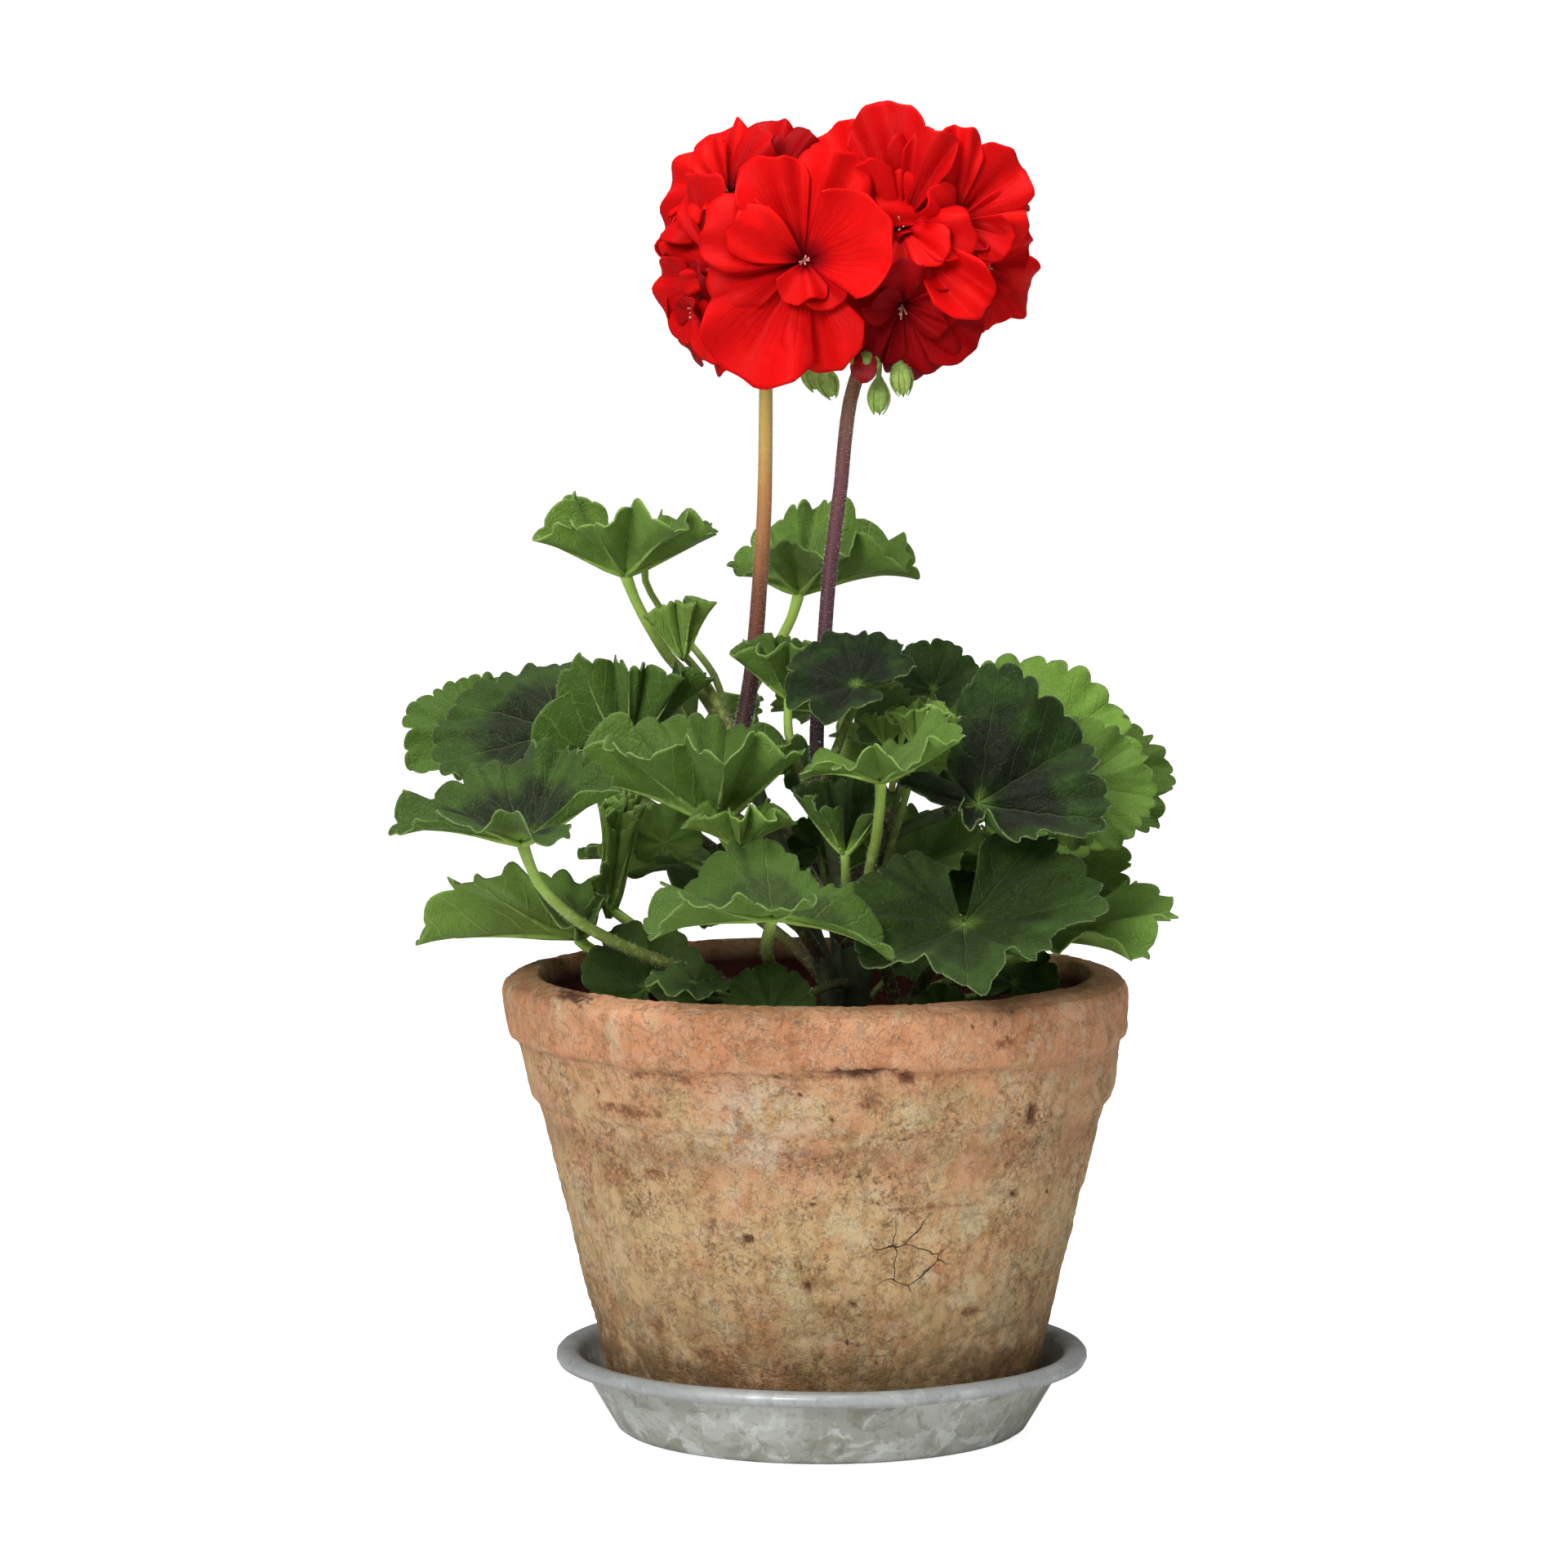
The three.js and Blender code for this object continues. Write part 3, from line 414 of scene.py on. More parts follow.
# the profile turned round, its skin pushed in and out; state tells the finish what is freshly broken, hollow
# and inside
def makePot(material):
    outer = resampled(pot["outside"], pot["rowSpacing"])
    inner = resampled(pot["inside"], pot["innerRowSpacing"])
    profile = np.array(outer + inner + [outer[0]])
    slope = unit(np.gradient(profile, axis=0))
    normals = np.stack([slope[:, 1], -slope[:, 0]], axis=1)
    turn = np.linspace(0, 2 * np.pi, pot["turns"], endpoint=False)
    points, states = [], []
    for row, ((r, z), (nr, nz)) in enumerate(zip(profile, normals)):
        outside = row < len(outer) or row == len(profile) - 1
        worn = (z - pot["trueFoot"]) / (pot["fullWear"] - pot["trueFoot"])
        worn = min(1.0, max(0.0, worn)) * (1.0 if outside else 0.4)
        if r < 60 and not outside:
            worn = 0.0
        top = min(1.0, max(0.0, (z / pot["height"] - 0.75) / 0.25))
        lean = pot["lean"] * top * top * (3 - 2 * top)
        for a in turn:
            x, y = r * math.cos(a), r * math.sin(a)
            spot = Vector((x, y, z))
            push = pot["lumps"] * noise.fractal(spot / pot["lumpSize"], 1.0, 2.0, 3)
            grain = noise.noise(spot / pot["grainSize"]) + 0.5 * noise.noise(spot / pot["fineGrainSize"])
            push += pot["grain"] * grain
            push += pot["rings"] * noise.noise(Vector((a * pot["ringLength"], 3.1, z / pot["ringHeight"])))
            near, _ = noise.voronoi(spot / pot["pitSpacing"])
            rare = noise.noise(spot / pot["pitClusters"] + Vector((5, 5, 5))) + 0.15
            pit = max(0.0, pot["pitReach"] - near[0]) * max(0.0, rare) * pot["pits"] if outside else 0.0
            fresh, hollow = 0.0, min(1.0, pit * 1.6)
            if outside and y < 0:
                for markX, markZ, wide, high, depth in pot["marks"]:
                    ragged = 0.5 * noise.noise(spot / pot["ragged"])
                    ragged += 0.35 * noise.noise(spot / pot["finelyRagged"])
                    far = math.hypot((x - markX) / wide, (z - markZ) / high) / (1 + ragged)
                    cut = max(0.0, 1 - far * far) ** 0.6
                    push -= depth * cut
                    fresh = max(fresh, min(1.0, cut * 2))
                    hollow = max(hollow, cut * cut * depth / 1.7)
            push = worn * min(push - pit, pot["mostProud"])
            points.append((x + nr * push * math.cos(a) + lean, y + nr * push * math.sin(a), z + nz * push))
            states.append((fresh, hollow, 0.0 if outside or z > 122 else 1.0))
    faces = gridFaces(len(profile), len(turn), around=True, flip=True)
    piece = addPiece("clayPot", np.array(points) * mm, faces, [material], attributes={"state": states})
    settle(piece, slotOf["pot"], "pot")
    print("pot ready:", len(faces), "faces")


makePot(agedTerracotta())


saucer = {
    "turns": 240, "rowSpacing": 1.6, "wobble": 0.25, "mostRaised": 0.1, "polishedRim": (16.5, 19.5),
    "profile": [(0, 0), (30, 0), (53.4, 0), (54.6, 0.3), (56, 1.2), (67, 19.8), (67.9, 19.9), (69.2, 18.9),
                (70.6, 18.3), (71.9, 18.7), (72.5, 19.9), (72.4, 21.1), (71.6, 22.0), (70.6, 22.5),
                (69.6, 22.55), (68, 22.3), (66.6, 21.5), (65.9, 20.2), (55.7, 2.0), (54.4, 1.2), (52.6, 1.0),
                (30, 1.0), (0, 1.0)],
}


# zinc sheet, weathered: soft grey metal, clouded by pale oxide and by a greenish-brown film in its dull spots
def weatheredZinc():
    material, tree, shader = newMaterial("weatheredZinc", Metallic=0.25)
    place = addNode(tree, "ShaderNodeTexCoord", output=3)
    height = addNode(tree, "ShaderNodeSeparateXYZ", {0: place}, 2)

    def cloud(size, shift=0.0):
        at = addNode(tree, "ShaderNodeMapping", {0: place, 1: (shift, shift, shift)})
        return addNode(tree, "ShaderNodeTexNoise", {"Vector": at, "Scale": 1 / (size * mm), "Detail": 7,
                                                    "Roughness": 0.62, "Distortion": 0.6})

    low, high = saucer["polishedRim"]
    colour = layCoats(tree, "#bfc1bb", [
        ("#a3a498", (cloud(18), 0.42, 0.58, 0.8)),
        ("#d2d5d0", (cloud(10, 0.3), 0.5, 0.6, 0.9)),  # pale oxide
        ("#8b8a76", (cloud(13, 0.8), 0.52, 0.62, 0.75)),  # film of dirt
        ("#92969a", (height, low * mm, high * mm, 0.7)),
        ("#7f817a", (cloud(2.2, 0.5), 0.54, 0.66, 0.5)),
    ])
    tree.links.new(colour, shader.inputs["Base Color"])
    dull = showing(tree, (cloud(9), 0.4, 0.65))
    rough = addNode(tree, "ShaderNodeMapRange", {0: dull, 3: 0.38, 4: 0.62})
    tree.links.new(rough, shader.inputs["Roughness"])
    dents = addNode(tree, "ShaderNodeTexNoise", {"Vector": place, "Scale": 1 / (5 * mm), "Detail": 4})
    bump = addNode(tree, "ShaderNodeBump", {"Strength": 0.25, "Distance": 0.0006, "Height": dents})
    tree.links.new(bump, shader.inputs["Normal"])
    return material


def makeSaucer(material):
    rows = resampled(saucer["profile"], saucer["rowSpacing"])
    points = []
    for r, z in rows:
        for a in np.linspace(0, 2 * np.pi, saucer["turns"], endpoint=False):
            x, y = r * math.cos(a), r * math.sin(a)
            bent = saucer["wobble"] * noise.noise(Vector((x, y, 0)) / 34) * min(1, z / 6)
            points.append((x, y, z + min(bent, saucer["mostRaised"])))
    faces = gridFaces(len(rows), saucer["turns"], around=True, flip=True)
    piece = addPiece("zincSaucer", np.array(points) * mm, faces, [material])
    settle(piece, slotOf["saucer"], "saucer")
    print("saucer ready")


makeSaucer(weatheredZinc())


soil = {"radius": 70.6, "bottom": 12.4, "bottomRadius": 46.6, "waist": (52.6, 22), "top": 106.2, "mound": 4,
        "lean": -1.1, "turns": 120, "heapRows": 46, "lumps": 1.1, "lumpSize": 8,
        "crumbs": 900, "crumbsFrom": 105, "crumbSize": 1.5, "crumbTilt": 1.2, "seed": 5}


# dark peat compost with bark and a few pale grains
def pottingCompost():
    material, tree, shader = newMaterial("pottingCompost", Roughness=1.0)
    place = addNode(tree, "ShaderNodeTexCoord", output=3)
    grain = addNode(tree, "ShaderNodeTexNoise", {"Vector": place, "Scale": 1 / (2.5 * mm), "Detail": 8,
                                                 "Roughness": 0.7})
    colour = layCoats(tree, "#241a13", [
        ("#3d2c1f", (grain, 0.45, 0.65)),
        ("#8a7458", (grain, 0.66, 0.74, 0.6)),
    ])
    tree.links.new(colour, shader.inputs["Base Color"])
    bump = addNode(tree, "ShaderNodeBump", {"Strength": 1.0, "Distance": 0.0015, "Height": grain})
    tree.links.new(bump, shader.inputs["Normal"])
    return material


# scatters copies of a small shape over a surface and gives them as one plain mesh
def scatter(name, ground, material, settings, makeShape):
    tree = bpy.data.node_groups.new(name, "GeometryNodeTree")
    tree.is_modifier = True
    tree.interface.new_socket("Geometry", in_out="INPUT", socket_type="NodeSocketGeometry")
    sockets = {}
    for label in ("Density", "Length", "Radius", "Tilt"):
        sockets[label] = tree.interface.new_socket(label, in_out="INPUT", socket_type="NodeSocketFloat")
    sockets["Seed"] = tree.interface.new_socket("Seed", in_out="INPUT", socket_type="NodeSocketInt")
    tree.interface.new_socket("Geometry", in_out="OUTPUT", socket_type="NodeSocketGeometry")
    given = tree.nodes.new("NodeGroupInput").outputs
    points = addNode(tree, "GeometryNodeDistributePointsOnFaces",
                     {"Mesh": given["Geometry"], "Density": given["Density"], "Seed": given["Seed"]})
    spots = points.node.outputs
    low = addNode(tree, "ShaderNodeMath", {0: given["Tilt"], 1: -1.0}, operation="MULTIPLY")
    lowest = addNode(tree, "ShaderNodeCombineXYZ", {0: low, 1: low, 2: -3.1})
    highest = addNode(tree, "ShaderNodeCombineXYZ", {0: given["Tilt"], 1: given["Tilt"], 2: 3.1})
    swing = addNode(tree, "FunctionNodeRandomValue", {0: lowest, 1: highest, "Seed": given["Seed"]}, 0,
                    data_type="FLOAT_VECTOR")
    turn = addNode(tree, "FunctionNodeEulerToRotation", {0: swing})
    facing = addNode(tree, "FunctionNodeRotateRotation", {0: spots["Rotation"], 1: turn},
                     rotation_space="LOCAL")
    size = addNode(tree, "FunctionNodeRandomValue", {2: 0.55, 3: 1.15, "Seed": given["Seed"]}, 1)
    copies = addNode(tree, "GeometryNodeInstanceOnPoints",
                     {"Points": points, "Instance": makeShape(tree, given), "Rotation": facing,
                      "Scale": size})
    real = addNode(tree, "GeometryNodeRealizeInstances", {0: copies})
    dressed = addNode(tree, "GeometryNodeSetMaterial", {"Geometry": real, "Material": material})
    tree.links.new(dressed, tree.nodes.new("NodeGroupOutput").inputs[0])
    modifier = ground.modifiers.new(name, "NODES")
    modifier.node_group = tree
    for label, value in settings.items():
        modifier[sockets[label].identifier] = value
    grown = ground.evaluated_get(bpy.context.evaluated_depsgraph_get())
    mesh = bpy.data.meshes.new_from_object(grown)
    ground.modifiers.remove(modifier)
    piece = bpy.data.objects.new(name, mesh)
    bpy.context.scene.collection.objects.link(piece)
    return piece


def crumbShape(tree, given):
    ball = addNode(tree, "GeometryNodeMeshIcoSphere", {"Radius": given["Radius"], "Subdivisions": 1})
    return addNode(tree, "GeometryNodeTransform", {"Geometry": ball, "Scale": (1.0, 0.7, 0.55)})


def makeSoil(material):
    wall = [(0.0, soil["bottom"]), (soil["bottomRadius"], soil["bottom"]), soil["waist"],
            (soil["radius"], soil["top"])]
    heap = [(r, soil["top"]) for r in np.linspace(soil["radius"] - 1.5, 0.0, soil["heapRows"])]
    points = []
    for r, z in wall + heap:
        for a in np.linspace(0, 2 * np.pi, soil["turns"], endpoint=False):
            x, y = r * math.cos(a), r * math.sin(a)
            rise = 0.0
            if z == soil["top"] and r < soil["radius"] - 1:
                rise = soil["mound"] * (1 - (r / soil["radius"]) ** 2)
                rise += soil["lumps"] * noise.fractal(Vector((x, y, 0)) / soil["lumpSize"], 1.0, 2.0, 4)
            points.append((x + (soil["lean"] if z == soil["top"] else 0.0), y, z + rise))
    faces = gridFaces(len(wall + heap), soil["turns"], around=True, flip=True)
    piece = addPiece("pottingSoil", np.array(points) * mm, faces, [material])
    settle(piece, slotOf["soil"], "soil")

    # crumbs lie on the top only
    top = [f for f in piece.data.polygons if f.center.z > soil["crumbsFrom"] * mm and f.normal.z > 0.5]
    kept = sorted({v for f in top for v in f.vertices})
    number = {v: i for i, v in enumerate(kept)}
    ground = bpy.data.meshes.new("soilTop")
    ground.from_pydata([piece.data.vertices[v].co for v in kept], [],
                       [[number[v] for v in f.vertices] for f in top])
    carrier = bpy.data.objects.new("soilTop", ground)
    bpy.context.scene.collection.objects.link(carrier)
    area = sum(f.area for f in top)
    crumbs = scatter("soilCrumbs", carrier, material,
                     {"Density": soil["crumbs"] / area, "Radius": soil["crumbSize"] * mm,
                      "Tilt": soil["crumbTilt"], "Seed": soil["seed"]}, crumbShape)
    bpy.data.objects.remove(carrier)
    settle(crumbs, slotOf["soil"])
    print("soil ready")


makeSoil(pottingCompost())


# radius is that at the crown, where the path starts
shoots = {
    "left": {"radius": 3, "path": [[4, -3, 84], [1, 1, 125], [-12, 7, 160], [-23, 9, 186]]},
    "middle": {"radius": 3.6, "path": [[5, -4, 84], [8, -7, 128], [3, -12, 160], [-2, -14, 178]]},
    "right": {"radius": 3,
              "path": [[7, -4, 84], [12, -8, 135], [16, -14, 161], [27, -17, 168], [39, -17, 172]]},
    "lowLeft": {"radius": 3.2, "path": [[2, -4, 84], [-6, -14, 110], [-16, -22, 121]]},
    "lowRight": {"radius": 3.2, "path": [[8, -4, 84], [17, -16, 112], [27, -22, 123]]},
    "back": {"radius": 3.2, "path": [[5, -1, 84], [5, 14, 125], [2, 28, 152]]},
}
shootForm = {"steps": 60, "sides": 14, "taper": 0.5, "knots": 6, "knotSwell": 0.16}
shootPaths = {name: smoothPath(shoot["path"], shootForm["steps"]) for name, shoot in shoots.items()}


def shootPoint(name, share):
    place = share * shootForm["steps"]
    lower = min(int(place), shootForm["steps"] - 1)
    path = shootPaths[name]
    return path[lower] + (path[lower + 1] - path[lower]) * (place - lower)


# half-woody stems: green-brown skin with leaf scars, browner and rougher towards the soil
def halfWoodyStem():
    material, tree, shader = newMaterial("halfWoodyStem", Roughness=0.7)
    place = addNode(tree, "ShaderNodeTexCoord", output=3)
    along = addNode(tree, "ShaderNodeAttribute", output=1, attribute_name="along")
    run = addNode(tree, "ShaderNodeSeparateXYZ", {0: along}, 0)
    patches = addNode(tree, "ShaderNodeTexNoise", {"Vector": place, "Scale": 1 / (4 * mm), "Detail": 6})
    colour = layCoats(tree, "#343d1d", [
        ("#4a5c28", (run, 0.1, 0.95, 0.7)),
        ("#2c2518", (patches, 0.45, 0.65, 0.6)),
    ])
    tree.links.new(colour, shader.inputs["Base Color"])
    bump = addNode(tree, "ShaderNodeBump", {"Strength": 0.7, "Distance": 0.0005, "Height": patches})
    tree.links.new(bump, shader.inputs["Normal"])
    return material


def makeShoots(material):
    made = Gathering()
    for name, shoot in shoots.items():
        path = shootPaths[name]
        run = np.linspace(0, 1, len(path))
        knots = 1 + shootForm["knotSwell"] * np.abs(np.sin(run * math.pi * shootForm["knots"])) ** 8
        radii = shoot["radius"] * (1 - (1 - shootForm["taper"]) * run) * knots
        points, faces, along = tubeShape(path, radii, shootForm["sides"])
        made.add(points, faces, along=np.stack([along] * 3, axis=1))
    settle(made.build("shoots_fine", [material]), slotOf["shoots"], "shoots")
    print("shoots ready")


makeShoots(halfWoodyStem())


# at is where the stalk meets the blade, midrib the heading of the middle lobe, lean and toward the tip of the
# blade's axis from upright. cup lifts the blade into a funnel, bends adds to it lobe by lobe, pleat deepens
# the folds, heel is the radius left beside the notch and lobes the reach of each lobe. tone runs from dark
# old green to bright young green and zone is how strong the dark band is. root names the shoot and the share
# of its length where the stalk leaves it, and via gives the points the stalk passes.
leaves = {
    "leaf_top_left": {
        "at": [-54, 25, 232.3], "midrib": -60, "radius": 32, "cup": 29, "pleat": 1.7, "tone": 0.5,
        "zone": 0.35, "bends": [32, -4, 3, 5, -3, -4, -6], "lobes": [1, 1, 1, 1, 0.92, 1, 1],
        "root": ["left", 0.84],
        "via": [[-25, 22, 186], [-33, 38, 198], [-42, 36, 208], [-46, 32, 214.5], [-51, 29, 224]],
    },
    "leaf_top_left_small": {
        "at": [-38, 22, 209], "midrib": -60, "lean": 10, "toward": 180, "radius": 18.5, "cup": 62,
        "pleat": 1.6, "tone": 0.72, "zone": 0.1, "bends": [4, 0, 3, 0, -2, 4, 0], "root": ["left", 0.93],
        "via": [[-25, 19, 190], [-33, 33, 203]],
    },
    "leaf_top_left_back": {
        "at": [-49, 56, 236], "midrib": 40, "radius": 12, "cup": 20, "tone": 0.4, "zone": 0.1,
        "root": ["left", 0.6], "via": [[-24, 35, 184], [-30, 46, 203], [-43, 55, 218], [-49, 56, 228]],
    },
    "leaf_top_right": {
        "at": [-6, 46, 226], "midrib": 22, "radius": 35, "cup": 30, "pleat": 1.5, "heel": 0.6, "tone": 0.5,
        "zone": 0.3, "bends": [0, -4, -8, -18, 22, 14, -12], "lobes": [1, 1, 1, 1, 1, 0.85, 0.8],
        "root": ["left", 0.7], "via": [[-22, 26, 192], [-14, 35, 208], [-8, 43, 219]],
    },
    "leaf_crest": {
        "at": [-9, -2, 200], "midrib": 200, "radius": 21, "cup": 46, "pleat": 1.5, "tone": 0.35,
        "zone": 0.2, "bends": [16, 18, 6, -6, 0, 10, 14], "root": ["middle", 0.8], "via": [[-9, -3, 190]],
    },
    "leaf_crest_dark": {
        "at": [9, -34, 206], "midrib": 140, "lean": 40, "toward": -95, "radius": 20, "cup": 6, "tone": 0,
        "zone": 0.9, "bends": [10, 4, 0, 0, -4, 4, 20], "root": ["middle", 0.95],
    },
    "leaf_crest_upright": {
        "at": [30, 0, 202], "midrib": 85, "lean": 62, "toward": -85, "radius": 14.5, "cup": 14,
        "tone": 0.05, "zone": 0.3, "bends": [30, 14, 0, 0, 0, 10, 30], "root": ["right", 0.6],
    },
    "leaf_young_left": {
        "at": [17, -17, 189], "midrib": 200, "radius": 10, "cup": 50, "pleat": 1.6, "tone": 0.75, "zone": 0,
        "root": ["middle", 0.85],
    },
    "leaf_young_right": {
        "at": [25, -25, 189], "midrib": 20, "radius": 14, "cup": 58, "pleat": 1.6, "tone": 0.7, "zone": 0,
        "root": ["right", 0.45],
    },
    "leaf_far_left": {
        "at": [-94, 80, 184], "midrib": 165, "lean": 45, "toward": -90, "radius": 24, "cup": 6, "tone": 0.3,
        "zone": 0.1, "bends": [50, 10, 0, 0, 4, 0, 0], "lobes": [1, 0.82, 0.87, 1.03, 1.15, 1, 1],
        "root": ["left", 0.52], "via": [[-52, 46, 169]],
    },
    "leaf_left": {
        "at": [-72, 44, 187], "midrib": 140, "lean": 50, "toward": -90, "radius": 38, "cup": 4, "heel": 0.6,
        "tone": 0.1, "zone": 1, "bends": [-4, -30, -26, -22, 0, 0, 30], "root": ["left", 0.6],
    },
    "leaf_left_inner": {
        "at": [-53, 24, 184], "midrib": -135, "radius": 33, "cup": 40, "pleat": 1.3, "tone": 0.1,
        "zone": 0.5, "bends": [-20, -20, -48, 20, 20, 12, 7], "lobes": [0.7, 0.8, 0.85, 0.98, 0.9, 1, 1.12],
        "root": ["left", 0.7],
    },
    "leaf_left_front": {
        "at": [-28, -31, 170], "midrib": 180, "radius": 43, "cup": 34, "pleat": 1.1, "tone": 0.3,
        "zone": 0.3, "bends": [4, 6, 6, -10, -2, 2, 6], "root": ["left", 0.4],
    },
    "leaf_low_left_front": {
        "at": [-79, -60, 167], "midrib": 150, "radius": 36, "cup": 30, "pleat": 0.9, "tone": 0.15,
        "zone": 1, "bends": [2, 22, 4, -16, -19, -15, -18], "root": ["lowLeft", 0.99],
        "via": [[-38, -40, 131], [-62, -50, 143], [-75, -57, 156]],
    },
    "leaf_low_left": {
        "at": [-66, -10, 137], "midrib": 176, "radius": 44, "cup": 14, "pleat": 0.8, "heel": 0.4,
        "tone": 0.4, "zone": 0.7, "bends": [50, 4, -2, -16, 17, 0, 30],
        "lobes": [0.5, 0.9, 1, 1, 1, 0.9, 0.5], "root": ["lowLeft", 0.85],
    },
    "leaf_folded": {
        "at": [-58, 4, 140.5], "midrib": 90, "lean": 8, "toward": 0, "radius": 35, "cup": 83, "pleat": 0.6,
        "tone": 0.5, "zone": 0.2, "bends": [0, 0, 0, 0, 0, 0, 0], "root": ["lowLeft", 0.7],
        "via": [[-40, -3, 130]],
    },
    "leaf_middle_small": {
        "at": [-22, -43, 164], "midrib": -90, "lean": 20, "toward": -90, "radius": 18, "cup": 46,
        "pleat": 1.8, "heel": 0.6, "tone": 0.6, "zone": 0, "bends": [0, -18, 4, 10, 6, -14, 0],
        "root": ["middle", 0.5],
    },
    "leaf_middle_back": {
        "at": [-33, 40, 151], "midrib": 180, "radius": 35, "cup": 5, "tone": 0.4, "zone": 0.1,
        "bends": [6, 4, 0, 0, 0, -30, -30], "root": ["left", 0.35],
    },
    "leaf_middle_left": {
        "at": [-43, 12, 159], "midrib": 90, "lean": 58, "toward": -90, "radius": 12, "cup": 8, "heel": 0.4,
        "tone": 0.5, "zone": 0, "root": ["left", 0.45],
    },
    "leaf_middle_dark": {
        "at": [6, -33, 161], "midrib": 100, "radius": 24, "cup": 50, "tone": 0.12, "zone": 0.7,
        "bends": [0, 4, 6, 4, 0, 2, 0], "root": ["middle", 0.5],
    },
    "leaf_middle_right": {
        "at": [27, 8, 153], "midrib": 80, "lean": 20, "toward": -90, "radius": 22, "cup": 25, "tone": 0.4,
        "zone": 0.1, "root": ["back", 0.6],
    },
    "leaf_front_right": {
        "at": [15, -58, 183], "midrib": 20, "radius": 27, "cup": 28, "pleat": 1.3, "tone": 0.42,
        "zone": 0.15, "bends": [-12, -6, 0, 14, -6, -22, -18], "root": ["lowRight", 0.8],
        "via": [[12, -35, 151], [14, -42, 165], [15, -53, 177]],
    },
    "leaf_right_dark": {
        "at": [41, -42, 175], "midrib": 52, "lean": 58, "toward": -90, "radius": 37, "cup": 6, "heel": 0.75,
        "tone": 0.02, "zone": 1, "bends": [50, 36, 6, 0, 12, -10, 20],
        "lobes": [0.72, 0.85, 1, 0.95, 1.1, 0.42, 0.72], "root": ["right", 0.95],
    },
    "leaf_right_light": {
        "at": [54, 10, 179], "midrib": 58, "lean": 55, "toward": -88, "radius": 36, "cup": 4, "tone": 0.8,
        "zone": 0.15, "bends": [8, 0, 0, 0, -6, 4, 10], "lobes": [1, 1, 1, 0.97, 1.14, 0.9, 1],
        "root": ["right", 0.98],
    },
    "leaf_right_edge": {
        "at": [68, -21, 178], "midrib": -10, "lean": 58, "toward": -80, "radius": 22, "cup": 4, "heel": 0.5,
        "tone": 0.55, "zone": 0.1, "bends": [0, 0, 0, 0, 0, 10, 40], "root": ["right", 0.9],
    },
    "leaf_far_right": {
        "at": [72, 44, 174], "midrib": 10, "lean": 48, "toward": -80, "radius": 27, "cup": 4, "tone": 0.35,
        "zone": 0.2, "bends": [-10, 0, 0, 0, 0, 0, 0], "root": ["back", 0.9],
        "via": [[32, 42, 159], [56, 47, 168]],
    },
    "leaf_low_right": {
        "at": [37, -54, 144], "midrib": -90, "lean": 33, "toward": -90, "radius": 36, "cup": 14,
        "tone": 0.09, "zone": 0.45, "bends": [4, 0, 0, 4, 0, 0, 14],
        "lobes": [0.92, 1.03, 1, 1, 0.78, 1.2, 1.14], "root": ["lowRight", 0.95],
    },
    "leaf_low_right_tip": {
        "at": [59, -17, 138], "midrib": 0, "radius": 37, "cup": 8, "heel": 0.3, "tone": 0.55, "zone": 0.1,
        "bends": [-12, -8, -10, 4, 14, 10, 0], "lobes": [1, 1, 1, 1, 0.9, 0.45, 0.4],
        "root": ["lowRight", 0.8],
    },
    "leaf_low_right_back": {
        "at": [59, 12, 149], "midrib": 30, "lean": 45, "toward": -90, "radius": 27, "cup": 8, "tone": 0.5,
        "zone": 0.2, "root": ["back", 0.5],
    },
    "leaf_front": {
        "at": [-13, -80, 150], "midrib": 142, "radius": 36, "cup": 8, "tone": 0.27, "zone": 0.6,
        "bends": [-24, 12, 22, 4, -12, 4, 4], "lobes": [1.15, 0.62, 1, 0.93, 0.97, 1, 1],
        "root": ["lowLeft", 0.7], "via": [[-12, -38, 127], [-15, -52, 137], [-14, -68, 145]],
    },
    "leaf_pot_left": {
        "at": [-47, -29, 124.5], "midrib": 100, "lean": 68, "toward": -90, "radius": 19, "cup": 6,
        "tone": 0.12, "zone": 0.2, "root": ["lowLeft", 0.9],
    },
    "leaf_pot_front": {
        "at": [-14, -60, 122], "midrib": 90, "lean": 52, "toward": -90, "radius": 14, "cup": 8,
        "tone": 0.15, "zone": 0.1, "root": ["middle", 0.4],
    },
    "leaf_pot_middle": {
        "at": [-34, -56, 129], "midrib": 190, "lean": 14, "toward": -90, "radius": 13, "cup": 6,
        "tone": 0.15, "zone": 0.2, "root": ["lowLeft", 0.8],
    },
    "leaf_pot_right": {
        "at": [52, -9, 123], "midrib": 70, "lean": 60, "toward": -90, "radius": 13, "cup": 6, "tone": 0.1,
        "zone": 0.2, "root": ["lowRight", 0.7],
    },
    "leaf_back_left": {
        "at": [-36, 78, 183], "midrib": 120, "lean": 35, "toward": 110, "radius": 27, "cup": 16,
        "tone": 0.3, "zone": 0.4, "root": ["back", 0.9],
    },
    "leaf_back_right": {
        "at": [28, 72, 176], "midrib": 50, "lean": 38, "toward": 75, "radius": 32, "cup": 16, "tone": 0.35,
        "zone": 0.5, "root": ["back", 0.95],
    },
    "leaf_back_low": {
        "at": [2, 74, 144], "midrib": 85, "lean": 38, "toward": 95, "radius": 31, "cup": 14, "tone": 0.25,
        "zone": 0.3, "root": ["back", 0.7],
    },
    "leaf_back_top": {
        "at": [6, 40, 193], "midrib": 80, "lean": 28, "toward": 100, "radius": 23, "cup": 18, "tone": 0.45,
        "zone": 0.3, "root": ["back", 0.98],
    },
}


